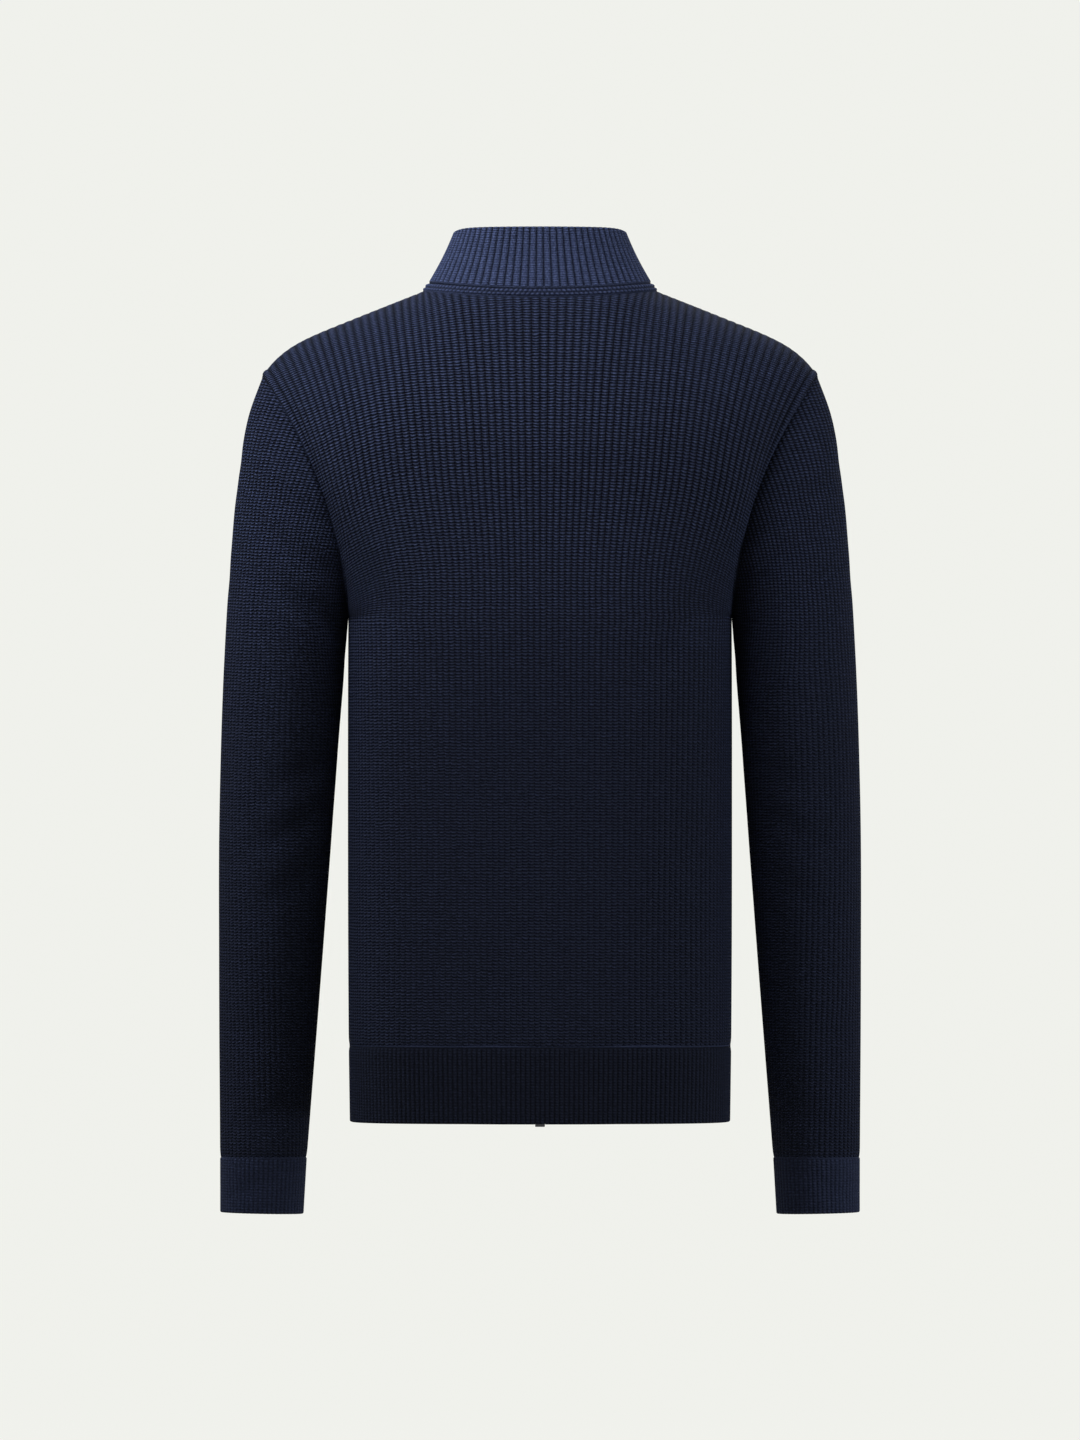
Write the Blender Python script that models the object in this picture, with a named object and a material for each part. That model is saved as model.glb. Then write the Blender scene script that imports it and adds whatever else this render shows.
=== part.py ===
"""Rib-knit zip-up cardigan with a stand collar, filled out as if it were worn.

Metres, +Z up. The front faces -Y and the wearer's left side is +X. The origin is the middle of the
neck opening, level with the points where the shoulder seams meet the neck.

Each knitted piece is a wall between two grids of points: an outer grid whose columns are the crests
and valleys of the ribs, and a plainer inner grid. Rows run up the piece, and columns run round it,
anticlockwise seen from above.
"""

import math

import bpy
import numpy as np

# Cloth
KNIT_WALL = 0.0026
COLLAR_WALL = 0.0030
RIB_RELIEF = 0.0009
COLLAR_RELIEF = 0.0008
BAND_RELIEF = 0.0007
SEAM_GAP = 0.0003
FINE = 241  # samples along one row before its columns are picked
TINY = 0.0001
INNER_STEP = 6  # the plain inner grid keeps every so many columns of the outer one
BAND_INNER_STEP = 8

# Armhole seam: an oval from the shoulder tip to the underarm, bowed towards the body
SHOULDER_TIP = (0.2328, -0.0697)  # x, z
UNDERARM = (0.1609, -0.2723)
ARMHOLE_DEPTH = 0.056
SIDE_SEAM = -0.002  # y of the side seam, the underarm and the shoulder tip
ARMHOLE_BOW = 0.0175

# Body: half sections from the centre line to the side
SIDE_POWER = 3.2  # squareness of the rings round the body
BODY_RINGS = (
    # height, half width, depth behind, depth in front
    (-0.6310, 0.1606, 0.1030, 0.1080),
    (-0.4600, 0.1613, 0.1035, 0.1110),
    (UNDERARM[1], UNDERARM[0], 0.1120, 0.1200),
)
YOKE_HEIGHT = {"back": -0.135, "front": -0.152}  # centre height where the shoulders begin to roll over
YOKE_DEPTH = {"back": 0.1120, "front": 0.1150}
YOKE_POWER = 2.5
ROW_DROP_POWER = 3.0  # how late a row drops towards the armhole
NECK_ROLL = 1.4  # a nearly straight slope up to the neck
SHOULDER_ROLL = 2.0  # a full quarter turn over the shoulder
NECK_SOFTENING = 75  # samples over which the corner at the neck point is eased at the yoke
NECK_SOFTENING_POWER = 0.7  # how soon the easing fades towards the top edge
SHOULDER_SLOPE = 0.395
SHOULDER_ROUND = 0.0178  # extra drop at the tip of the shoulder
SHOULDER_ROUND_POWER = 9
DEPTH_WEIGHT = 0.35  # how much depth counts when the columns are spread along the top edge
ARM_TURNS = (24, 54, 90)  # degrees of the armhole from the underarm up to the yoke
SHOULDER_TURNS = (30, 54, 73, 90)  # degrees of the roll from the yoke to the top edge
BODY_RIBS_HALF = 42

# Sleeve
SLEEVE_ROWS = (
    # outer x, outer z, inner x, inner z, half depth, centre y, bow
    (0.2447, -0.1030, 0.1623, -0.2900, 0.0575, -0.002, 0.0120),
    (0.2535, -0.1550, 0.1636, -0.3060, 0.0585, -0.002, 0.0060),
    (0.2598, -0.2200, 0.1654, -0.3300, 0.0585, -0.002, 0.0020),
    (0.2654, -0.3100, 0.1687, -0.3700, 0.0570, -0.003, 0.0),
    (0.2691, -0.4200, 0.1735, -0.4350, 0.0535, -0.006, 0.0),
    (0.2699, -0.5700, 0.1838, -0.5700, 0.0460, -0.013, 0.0),
    (0.2692, -0.7266, 0.1962, -0.7266, 0.0375, -0.022, 0.0),
)
CUFF_BOTTOM = (0.2692, -0.7728, 0.1990, -0.7742, 0.0335, -0.024, 0.0)
SLEEVE_RIBS = 54
CUFF_RIBS = 54

# Hem band
HEM_BOTTOM = (-0.6955, 0.1597, 0.1010, 0.1060)  # a ring as in BODY_RINGS
HEM_FRONT_DROP = 0.0060  # the front hangs this much lower at its centre
HEM_RIBS_HALF = 52

# Neck rings: seam at the body, base of the collar, top of the collar
# (half width, depth behind, depth in front, height behind, at the side, in front, levelness behind)
RING_POWER = 2.2
FRONT_LEVELNESS = 2
NECK_SEAM = (0.0990, 0.0730, 0.0770, -0.0052, 0.0010, -0.0740, 2)
COLLAR_BASE = (0.0935, 0.0705, 0.0755, 0.0025, 0.0090, -0.0662, 2)
COLLAR_TOP = (0.0722, 0.0560, 0.0670, 0.0544, 0.0512, -0.0060, 6)
COLLAR_HOLLOW = 0.0012
COLLAR_RIBS = 84
TRIM_PROUD = 0.0006  # the linking trim round the neck stands proud of the collar
TRIM_CORNERS = 29  # points along half of it, which the collar's base follows
TRIM_FALLS = (0.40, 0.32, 0.25)  # tilt of its wall at its lower edge, middle and upper edge
NECK_SEAM_EASE = 0.0010  # the panels' neck edges stay this far under the seam line
PANEL_NECK_FALL = ((0.015, 0.035), (0.25, 1.4))  # x, tilt of the panels' wall there: the seam opens inwards

# Zip
FRONT_EDGE = 0.0045  # from the centre line to the knitted front edge
FRONT_FINE_COLUMNS = 6  # columns beside that edge whose inner grid is finer, for the tape behind it
TAPE_SPAN = (0.0031, 0.0145)
TAPE_FACE = 0.0035  # behind the outer surface
TAPE_THICKNESS = 0.0010
CHAIN_SPAN = (0.0002, 0.0028)
CHAIN_FACE = 0.0010
CHAIN_DEPTH = 0.0030
CHAIN_PAST_SLIDER = 0.0006  # the closed chain ends this far above the slider's middle
TAPE_INSET = 0.0020  # tape ends this far from the hem and the collar's top edge
BOX_SIZE = (0.0082, 0.0030, 0.0100)
BOX_BELOW_HEM = 0.0020
SLIDER_FROM_TOP = 0.0150
SLIDER_SIZE = (0.0080, 0.0110)
SLIDER_PLATE = 0.0012
SLIDER_POST = (0.0030, 0.0044, 0.0030)  # width, height, and its middle above the slider's
SUNK_IN = 0.0002  # how far a joined piece reaches into its neighbour
BAIL_WIDTH = 0.0020
BAIL_REACH = 0.0026
BAIL_BAR = 0.0009
HINGE_FROM_PLATE = 0.00085
PULL_SIZE = (0.0080, 0.0010, 0.0300)
PULL_WINDOW = (0.0032, 0.0062)
PULL_BAR = 0.0010
STOP_SIZE = (0.0026, 0.0030, 0.0020)
STOP_ABOVE_SLIDER = 0.0030

NAVY = (0.012, 0.017, 0.045)
TAPE_NAVY = (0.010, 0.013, 0.030)
METAL = (0.42, 0.43, 0.45)


# ---------------------------------------------------------------------------------------- lines


def spread(line, weight=1.0):
    """A line resampled at FINE even steps of its length, where depth counts by a weight."""
    step = np.diff(line, axis=0) * (1.0, weight, 1.0)
    length = np.concatenate([[0.0], np.cumsum(np.linalg.norm(step, axis=1))])
    even = np.linspace(0.0, length[-1], FINE)
    return np.stack([np.interp(even, length, line[:, k]) for k in range(3)], axis=1)


def row_length(row):
    return np.linalg.norm(np.diff(row, axis=0), axis=1).sum()


def pick(rows, shares):
    """The points of each row at the given shares of its length."""
    at = np.linspace(0.0, 1.0, FINE)
    shares = np.broadcast_to(shares, (len(rows), np.shape(shares)[-1]))
    return np.array(
        [
            np.stack([np.interp(share, at, row[:, k]) for k in range(3)], axis=1)
            for row, share in zip(rows, shares)
        ]
    )


def unit(vectors):
    return vectors / np.linalg.norm(vectors, axis=-1, keepdims=True)


def ring_rules(ring, turn):
    """A neck ring at an angle from the centre back: an oval in plan, with powers of the sine in height."""
    half_width, behind, ahead, z_back, z_side, z_front, level = ring
    cos, sin = np.cos(turn), np.sin(turn)
    x = half_width * np.sign(sin) * np.abs(sin) ** (2 / RING_POWER)
    y = np.where(cos > 0, behind, ahead) * np.sign(cos) * np.abs(cos) ** (2 / RING_POWER)
    end = np.where(cos > 0, z_back, z_front)
    z = end + (z_side - end) * np.abs(sin) ** np.where(cos > 0, level, FRONT_LEVELNESS)
    return np.stack([x, y, z], axis=-1)


def armhole(turn):
    """The +X armhole seam: turn is 0 at the shoulder tip and pi at the underarm, and is positive behind."""
    tip, under = np.array(SHOULDER_TIP), np.array(UNDERARM)
    centre, reach = (tip + under) / 2, (tip - under) / 2
    cos, sin = np.cos(turn), np.sin(turn)
    x = centre[0] + reach[0] * cos - ARMHOLE_BOW * sin**2
    y = SIDE_SEAM + ARMHOLE_DEPTH * sin
    z = centre[1] + reach[1] * cos
    return np.stack([x, y, z], axis=-1)


def armhole_axis():
    """Unit vector out of the armhole's plane, away from the body."""
    tip, under = np.array(SHOULDER_TIP), np.array(UNDERARM)
    along = unit(tip - under)
    return np.array([along[1], 0.0, -along[0]])


def into_armhole(points):
    """Directions from points on the armhole towards its centre line."""
    tip, under = np.array(SHOULDER_TIP), np.array(UNDERARM)
    centre = (tip + under) / 2
    towards = np.array([centre[0] - ARMHOLE_BOW / 2, SIDE_SEAM, centre[1]]) - points
    return unit(towards - (towards @ armhole_axis())[..., None] * armhole_axis())


# ----------------------------------------------------------------------------------------- body


def body_row(ring, side, front_drop=0.0):
    """Half of a ring round the body, from the centre line to the +X side."""
    height, half_width, behind, ahead = ring
    turn = np.linspace(0.0, math.pi / 2, FINE)
    x = half_width * np.sin(turn) ** (2 / SIDE_POWER)
    centre_y = behind if side == "back" else -ahead
    y = SIDE_SEAM + (centre_y - SIDE_SEAM) * np.cos(turn) ** (2 / SIDE_POWER)
    z = height - (front_drop if side == "front" else 0.0) * np.cos(turn) ** 2
    return spread(np.stack([x, y, z], axis=1))


def arm_row(turn_degrees, side):
    """A row that ends on the armhole, at turn degrees above the underarm. 90 is the yoke."""
    sign = 1 if side == "back" else -1
    edge = armhole(sign * (math.pi - math.radians(turn_degrees)))
    share = turn_degrees / 90
    under = BODY_RINGS[-1]
    centre_y = sign * ((1 - share) * under[2 if side == "back" else 3] + share * YOKE_DEPTH[side])
    centre_z = (1 - share) * under[0] + share * YOKE_HEIGHT[side]
    power = (1 - share) * SIDE_POWER + share * YOKE_POWER
    turn = np.linspace(0.0, math.pi / 2, FINE)
    across = np.sin(turn) ** (2 / power)
    x = edge[0] * across
    y = edge[1] + (centre_y - edge[1]) * np.cos(turn) ** (2 / power)
    z = centre_z + (edge[2] - centre_z) * across**ROW_DROP_POWER
    return spread(np.stack([x, y, z], axis=1))


def shoulder_seam():
    """From the neck to the tip: an even slope that rounds off at the tip."""
    neck = ring_rules(NECK_SEAM, np.array([math.pi / 2]))[0]
    out = np.linspace(0.0, 1.0, FINE)
    width = SHOULDER_TIP[0] - neck[0]
    fall = SHOULDER_SLOPE * width * out + SHOULDER_ROUND * out**SHOULDER_ROUND_POWER
    z = neck[2] + (SHOULDER_TIP[1] - neck[2]) * fall / fall[-1]
    y = neck[1] + (SIDE_SEAM - neck[1]) * out
    return np.stack([neck[0] + width * out, y, z], axis=1)


def top_edge(side):
    """The upper edge of a panel: round the neck from the centre, then along the shoulder seam."""
    turn = np.linspace(0.0, math.pi / 2, FINE)
    neck = ring_rules(NECK_SEAM, turn if side == "back" else math.pi - turn)
    return spread(np.concatenate([neck[:-1], shoulder_seam()]), DEPTH_WEIGHT)


def softened(line, reach):
    """A half row with its bends eased over a reach of samples: mirrored at its centre, kept at its end."""
    if reach < 1:
        return line
    before = line[reach:0:-1] * (-1.0, 1.0, 1.0)
    after = 2 * line[-1] - line[-2 : -reach - 2 : -1]
    weights = np.hanning(2 * reach + 3)[1:-1]
    whole = np.concatenate([before, line, after])
    eased = [np.convolve(whole[:, k], weights / weights.sum(), "valid") for k in range(3)]
    return np.stack(eased, axis=1)


def shoulder_row(turn_degrees, side):
    """A row between the yoke (0) and the top edge (90), rolled over on a rounded quarter turn."""
    yoke = arm_row(90, side)
    turn = math.radians(turn_degrees)
    top = softened(top_edge(side), int(NECK_SOFTENING * math.cos(turn) ** NECK_SOFTENING_POWER))
    share = np.linspace(0.0, 1.0, FINE)
    ease = np.clip(2 * share, 0.0, 1.0)
    roll = NECK_ROLL + (SHOULDER_ROLL - NECK_ROLL) * ease * ease * (3 - 2 * ease)
    rise = math.sin(turn) ** (2 / roll)
    hold = max(math.cos(turn), 0.0) ** (2 / roll)
    reach = (SHOULDER_TIP[0] - UNDERARM[0]) / 2
    out = rise * (reach + ARMHOLE_BOW * rise) / (reach + ARMHOLE_BOW)  # as the armhole's oval leans out
    x = yoke[:, 0] + (top[:, 0] - yoke[:, 0]) * out
    y = top[:, 1] + (yoke[:, 1] - top[:, 1]) * hold
    z = yoke[:, 2] + (top[:, 2] - yoke[:, 2]) * rise
    return np.stack([x, y, z], axis=1)


def panel_rows(side):
    """All the rows of the back, or of the +X front, from the hem join to the top edge."""
    low = [body_row(ring, side) for ring in BODY_RINGS]
    arm = [arm_row(turn, side) for turn in ARM_TURNS]
    return np.array(low + arm + [shoulder_row(turn, side) for turn in SHOULDER_TURNS])


def hem_rows(side):
    top = body_row(BODY_RINGS[0], side)
    bottom = body_row(HEM_BOTTOM, side, HEM_FRONT_DROP)
    return np.array([bottom, top])


# ---------------------------------------------------------------------------------------- walls


def outward(grid, closed=False):
    """Unit normals of a grid, by central differences along its rows and columns."""
    if closed:
        across = np.roll(grid, -1, axis=1) - np.roll(grid, 1, axis=1)
    else:
        across = np.gradient(grid, axis=1)
    return unit(np.cross(across, np.gradient(grid, axis=0)))


def zipper(first, second, first_at, second_at):
    """Triangles between two chains of points with different counts, matched by place."""
    faces, i, j = [], 0, 0
    while i < len(first) - 1 or j < len(second) - 1:
        next_i = first_at[i + 1] if i < len(first) - 1 else math.inf
        next_j = second_at[j + 1] if j < len(second) - 1 else math.inf
        if next_i <= next_j:
            faces.append((first[i], first[i + 1], second[j]))
            i += 1
        else:
            faces.append((first[i], second[j + 1], second[j]))
            j += 1
    return faces


def wall_mesh(name, outer, inner, outer_at, inner_at, closed=False):
    """A closed solid between an outer and an inner grid that share their rows and their rims."""
    rows = len(outer)

    def index(grid, start):
        columns = np.arange(grid.shape[0] * grid.shape[1]).reshape(grid.shape[:2]) + start
        return np.concatenate([columns, columns[:, :1]], axis=1) if closed else columns

    out, inn = index(outer, 0), index(inner, outer.shape[0] * outer.shape[1])
    outer_at = np.append(outer_at, 1.0) if closed else outer_at
    inner_at = np.append(inner_at, 1.0) if closed else inner_at
    faces = []
    for grid, flip in ((out, False), (inn, True)):
        quads = np.stack([grid[:-1, :-1], grid[:-1, 1:], grid[1:, 1:], grid[1:, :-1]], axis=-1)
        quads = quads.reshape(-1, 4)
        faces += [tuple(quad) for quad in (quads[:, ::-1] if flip else quads).tolist()]
    faces += zipper(out[-1].tolist(), inn[-1].tolist(), outer_at, inner_at)
    faces += [face[::-1] for face in zipper(out[0].tolist(), inn[0].tolist(), outer_at, inner_at)]
    if not closed:
        for row in range(rows - 1):
            faces.append((out[row, 0], out[row + 1, 0], inn[row + 1, 0], inn[row, 0]))
            faces.append((out[row, -1], inn[row, -1], inn[row + 1, -1], out[row + 1, -1]))
    mesh = bpy.data.meshes.new(name)
    points = np.concatenate([outer.reshape(-1, 3), inner.reshape(-1, 3)])
    mesh.from_pydata(points.tolist(), [], [tuple(int(v) for v in face) for face in faces])
    mesh.validate()
    return mesh


def rib_shares(ribs, first=0.0, last=1.0):
    """Places of the valleys (even) and crests (odd) of some ribs along a row."""
    return np.linspace(first, last, 2 * ribs + 1)


def sunk(grid, normals, relief):
    """A grid whose even columns lie lower: the valleys between ribs."""
    grid = grid.copy()
    grid[:, ::2] -= normals[:, ::2] * relief
    return grid


def inner_columns(count, every, fine=0):
    """Every so many columns of a grid, with the last one always in, and every other one at the start."""
    return np.unique(np.concatenate([np.arange(0, fine, 2), np.arange(0, count, every), [count - 1]]))


# ------------------------------------------------------------------------------------ materials


def material(name, colour, roughness, metallic=0.0, sheen=0.0):
    made = bpy.data.materials.new(name)
    made.use_nodes = True
    shader = made.node_tree.nodes["Principled BSDF"]
    shader.inputs["Base Color"].default_value = (*colour, 1.0)
    shader.inputs["Roughness"].default_value = roughness
    shader.inputs["Metallic"].default_value = metallic
    shader.inputs["Sheen Weight"].default_value = sheen
    return made


def place(name, mesh, finish):
    """Puts a mesh in the scene as a named object of the garment."""
    made = bpy.data.objects.new(name, mesh)
    bpy.context.scene.collection.objects.link(made)
    mesh.materials.append(finish)
    return made


def mirrored(grid):
    """The same grid on the other side of the body, with its columns still anticlockwise."""
    return (grid * (-1.0, 1.0, 1.0))[:, ::-1]


def both_halves(grid):
    """A half grid that starts on the centre line and its mirror image, as one grid from +X to -X."""
    return np.concatenate([grid[:, :0:-1], grid * (-1.0, 1.0, 1.0)], axis=1)


def both_shares(shares):
    """The places of those columns along the whole row."""
    return (np.concatenate([-shares[:0:-1], shares]) + 1) / 2


# --------------------------------------------------------------------------------- knitted parts


def panel_grids(side, rows, shares):
    """Crest grid and inward directions of a panel on +X, columns from the centre line to the side.

    Rims that meet another piece get directions that both pieces share.
    """
    grid = pick(rows, shares)
    flow = 1 if side == "front" else -1  # columns of the back run clockwise until it is turned round
    inward = -flow * outward(grid)
    low = len(BODY_RINGS)
    inward[:low, -1] = (-1.0, 0.0, 0.0)
    inward[low:, -1] = into_armhole(grid[low:, -1])
    inward[low - 1, -1] = into_armhole(grid[low - 1, -1])
    on_neck = grid[-1, :, 0] < NECK_SEAM[0] - TINY
    falls = np.interp(grid[-1, on_neck, 0], *PANEL_NECK_FALL)
    inward[-1, on_neck] = neck_inward(grid[-1, on_neck], falls[:, None])
    seam_in = unit(np.array([-SHOULDER_SLOPE, 0.0, -1.0]))
    inward[-1, ~on_neck] = seam_in
    inward[-1, -1] = into_armhole(grid[-1, -1])
    inward[:low, 0] = unit(inward[:low, 0] * (0.0, 1.0, 1.0))
    return grid, inward


def neck_inward(points, fall):
    """Directions from a neck ring towards its axis, tilted down by a share."""
    flat = -points * (1.0, 1.0, 0.0)
    return unit(unit(flat) - np.array([0.0, 0.0, 1.0]) * fall)


def close_gaps(grid, sign):
    """Draws a panel's rims back by half a seam gap from the lines that it shares."""
    half = SEAM_GAP / 2
    low = len(BODY_RINGS)
    grid = grid.copy()
    grid[0, :, 2] += half
    grid[:low, -1, 1] += sign * half
    grid[low - 1 :, -1] -= armhole_axis() * half
    on_neck = grid[-1, :, 0] < NECK_SEAM[0] - TINY
    grid[-1, on_neck, 2] -= NECK_SEAM_EASE
    grid[-1, ~on_neck, 1] += sign * half
    return grid


def knit_back(finish):
    rows = panel_rows("back")
    shares = rib_shares(BODY_RIBS_HALF)
    crest, inward = panel_grids("back", rows, shares)
    crest = close_gaps(crest, 1)
    ribbed = sunk(crest, -inward, RIB_RELIEF)
    ribbed[:, -1] = crest[:, -1]
    keep = inner_columns(len(shares), INNER_STEP)
    inside = (crest + inward * KNIT_WALL)[:, keep]
    at, inner_at = both_shares(shares), both_shares(shares[keep])
    place("back", wall_mesh("back", both_halves(ribbed), both_halves(inside), at, inner_at), finish)


def knit_fronts(finish):
    rows = panel_rows("front")
    starts = np.array([FRONT_EDGE / row_length(row) for row in rows])[:, None]
    shares = starts + (1 - starts) * rib_shares(BODY_RIBS_HALF)
    crest, inward = panel_grids("front", rows, shares)
    crest = close_gaps(crest, -1)
    ribbed = sunk(crest, -inward, RIB_RELIEF)
    ribbed[:, -1] = crest[:, -1]
    keep = inner_columns(shares.shape[1], INNER_STEP, fine=FRONT_FINE_COLUMNS)
    inside = (crest + inward * KNIT_WALL)[:, keep]
    at = rib_shares(BODY_RIBS_HALF)
    place("front_left", wall_mesh("front_left", ribbed, inside, at, at[keep]), finish)
    other = wall_mesh(
        "front_right", mirrored(ribbed), mirrored(inside), 1 - at[::-1], 1 - at[keep][::-1]
    )
    place("front_right", other, finish)


def knit_hem(finish):
    """The rib band round the hem, in the same three panels."""
    for side, sign in (("back", 1), ("front", -1)):
        rows = hem_rows(side)
        starts = np.zeros((2, 1))
        if side == "front":
            starts = np.array([FRONT_EDGE / row_length(row) for row in rows])[:, None]
        at = rib_shares(HEM_RIBS_HALF)
        crest = pick(rows, starts + (1 - starts) * at)
        inward = sign * outward(crest)
        inward[:, -1] = (-1.0, 0.0, 0.0)
        crest[-1, :, 2] -= SEAM_GAP / 2
        crest[:, -1, 1] += sign * SEAM_GAP / 2
        ribbed = sunk(crest, -inward, BAND_RELIEF)
        ribbed[:, -1] = crest[:, -1]
        keep = inner_columns(len(at), BAND_INNER_STEP)
        inside = (crest + inward * KNIT_WALL)[:, keep]
        if side == "back":
            whole, plain = both_halves(ribbed), both_halves(inside)
            full, inner_full = both_shares(at), both_shares(at[keep])
            place("hem_back", wall_mesh("hem_back", whole, plain, full, inner_full), finish)
            continue
        place("hem_front_left", wall_mesh("hem_front_left", ribbed, inside, at, at[keep]), finish)
        other = wall_mesh(
            "hem_front_right", mirrored(ribbed), mirrored(inside), 1 - at[::-1], 1 - at[keep][::-1]
        )
        place("hem_front_right", other, finish)


def arm_ring(row, turn):
    """A closed row of the sleeve: turn runs from the outer line backwards, as on the armhole."""
    outer_x, outer_z, inner_x, inner_z, half_depth, centre_y, bow = row
    cos, sin = np.cos(turn), np.sin(turn)
    x = (outer_x + inner_x) / 2 + (outer_x - inner_x) / 2 * cos - bow * sin**2
    y = centre_y + half_depth * sin
    z = (outer_z + inner_z) / 2 + (outer_z - inner_z) / 2 * cos
    return np.stack([x, y, z], axis=-1)


def knit_sleeve(finish):
    """A tube from the cuff join up to the armhole, with its ribs running down from the seam."""
    turn = np.linspace(0.0, 2 * math.pi, 2 * SLEEVE_RIBS, endpoint=False)
    upper = [90 - rolled for rolled in reversed(SHOULDER_TURNS)]
    lower = [180 - raised for raised in reversed(ARM_TURNS)]
    corners = np.radians(upper + lower + [180])  # where the rows of the body end on the seam
    corners = np.concatenate([corners, 2 * math.pi - corners[-2::-1]])
    seam_points = armhole(corners)
    seam = np.stack([np.interp(turn, corners, seam_points[:, k]) for k in range(3)], axis=1)
    rows = [arm_ring(row, turn) for row in reversed(SLEEVE_ROWS)]
    crest = np.array(rows + [seam])
    inward = -outward(crest, closed=True)
    inward[-1] = into_armhole(seam)
    crest[-1] += armhole_axis() * SEAM_GAP / 2
    crest[0, :, 2] += SEAM_GAP / 2
    ribbed = sunk(crest, -inward, RIB_RELIEF)
    ribbed[-1] = crest[-1]
    keep = np.arange(0, len(turn), INNER_STEP)
    inside = (crest + inward * KNIT_WALL)[:, keep]
    at = turn / (2 * math.pi)
    make_pair("sleeve", ribbed, inside, at, at[keep], finish)


def make_pair(name, outer, inner, outer_at, inner_at, finish):
    """A closed tube on the +X side and its mirror image."""
    place(f"{name}_left", wall_mesh(f"{name}_left", outer, inner, outer_at, inner_at, True), finish)
    flip = (-1.0, 1.0, 1.0)
    outer = np.roll((outer * flip)[:, ::-1], 1, axis=1)
    inner = np.roll((inner * flip)[:, ::-1], 1, axis=1)
    outer_at = np.append(0.0, 1 - outer_at[:0:-1])
    inner_at = np.append(0.0, 1 - inner_at[:0:-1])
    place(f"{name}_right", wall_mesh(f"{name}_right", outer, inner, outer_at, inner_at, True), finish)


def knit_cuffs(finish):
    turn = np.linspace(0.0, 2 * math.pi, 2 * CUFF_RIBS, endpoint=False)
    crest = np.array([arm_ring(CUFF_BOTTOM, turn), arm_ring(SLEEVE_ROWS[-1], turn)])
    inward = -outward(crest, closed=True)
    crest[-1, :, 2] -= SEAM_GAP / 2
    ribbed = sunk(crest, -inward, BAND_RELIEF)
    keep = np.arange(0, len(turn), INNER_STEP)
    inside = (crest + inward * KNIT_WALL)[:, keep]
    at = turn / (2 * math.pi)
    make_pair("cuff", ribbed, inside, at, at[keep], finish)


def collar_rows(shares):
    """Half rings up the collar, from the centre back to the centre front on +X."""
    turn = np.linspace(0.0, math.pi, 2 * FINE)
    base, top = (ring_rules(ring, turn) for ring in (COLLAR_BASE, COLLAR_TOP))
    rows = []
    for share in shares:
        row = base + (top - base) * share
        flat = unit(row * (1.0, 1.0, 0.0))
        rows.append(spread(row - flat * COLLAR_HOLLOW * math.sin(math.pi * share)))
    return np.array(rows)


def knit_collar(finish):
    rows = collar_rows((0.0, 0.5, 1.0))
    ends = np.array([1 - FRONT_EDGE / row_length(row) for row in rows])[:, None]
    at = np.linspace(0.0, 1.0, COLLAR_RIBS + 1)
    crest = pick(rows, ends * at)
    trim_at = np.linspace(0.0, 1.0, TRIM_CORNERS)
    trim = pick(rows[:1], ends[:1] * trim_at)[0]
    crest[0] = np.stack([np.interp(at, trim_at, trim[:, k]) for k in range(3)], axis=1)
    inward = outward(crest)
    inward[0] = neck_inward(crest[0], TRIM_FALLS[-1])
    crest[0, :, 2] += SEAM_GAP / 2
    ribbed = sunk(crest, -inward, COLLAR_RELIEF)
    keep = inner_columns(len(at), COLLAR_RIBS // (TRIM_CORNERS - 1))
    inside = (crest + inward * COLLAR_WALL)[:, keep]
    full, inner_full = both_shares(at), both_shares(at[keep])
    place("collar", wall_mesh("collar", both_halves(ribbed), both_halves(inside), full, inner_full), finish)


def knit_neck_trim(finish):
    """The linked chain trim between the body and the collar, a little proud of both."""
    turn = np.linspace(0.0, math.pi, 2 * FINE)
    low, high = (spread(ring_rules(ring, turn)) for ring in (NECK_SEAM, COLLAR_BASE))
    middle = (low + high) / 2
    middle = middle + unit(middle * (1.0, 1.0, 0.0)) * TRIM_PROUD
    rows = np.array([low, middle, high])
    ends = np.array([1 - FRONT_EDGE / row_length(row) for row in rows])[:, None]
    at = np.linspace(0.0, 1.0, TRIM_CORNERS)
    crest = pick(rows, ends * at)
    inward = np.stack([neck_inward(row, fall) for row, fall in zip(crest, TRIM_FALLS)])
    crest[0, :, 2] += SEAM_GAP / 2
    crest[-1, :, 2] -= SEAM_GAP / 2
    inside = crest + inward * COLLAR_WALL
    full = both_shares(at)
    place("neck_trim", wall_mesh("neck_trim", both_halves(crest), both_halves(inside), full, full), finish)


# ------------------------------------------------------------------------------------------ zip


def front_strip(span):
    """Rows up the centre front, from the hem to the collar's top, with points at distances from it."""
    collar = collar_rows((0.0, 0.5, 1.0))[:, ::-1]
    rows = np.concatenate([hem_rows("front")[:1], panel_rows("front"), collar])
    shares = np.array([[distance / row_length(row) for distance in span] for row in rows])
    return pick(rows, shares)


def cut_strip(strip, start, stop):
    """The rows of a strip between two lengths from its lower end, with new rows at the cuts."""
    length = np.concatenate([[0.0], np.cumsum(np.linalg.norm(np.diff(strip[:, 0], axis=0), axis=1))])
    stop = length[-1] - stop
    inside = length[(length > start + TINY) & (length < stop - TINY)]
    at = np.concatenate([[start], inside, [stop]])
    flat = strip.reshape(len(strip), -1)
    rows = np.stack([np.interp(at, length, flat[:, k]) for k in range(flat.shape[1])], axis=1)
    return rows.reshape(len(at), -1, 3)


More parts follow.
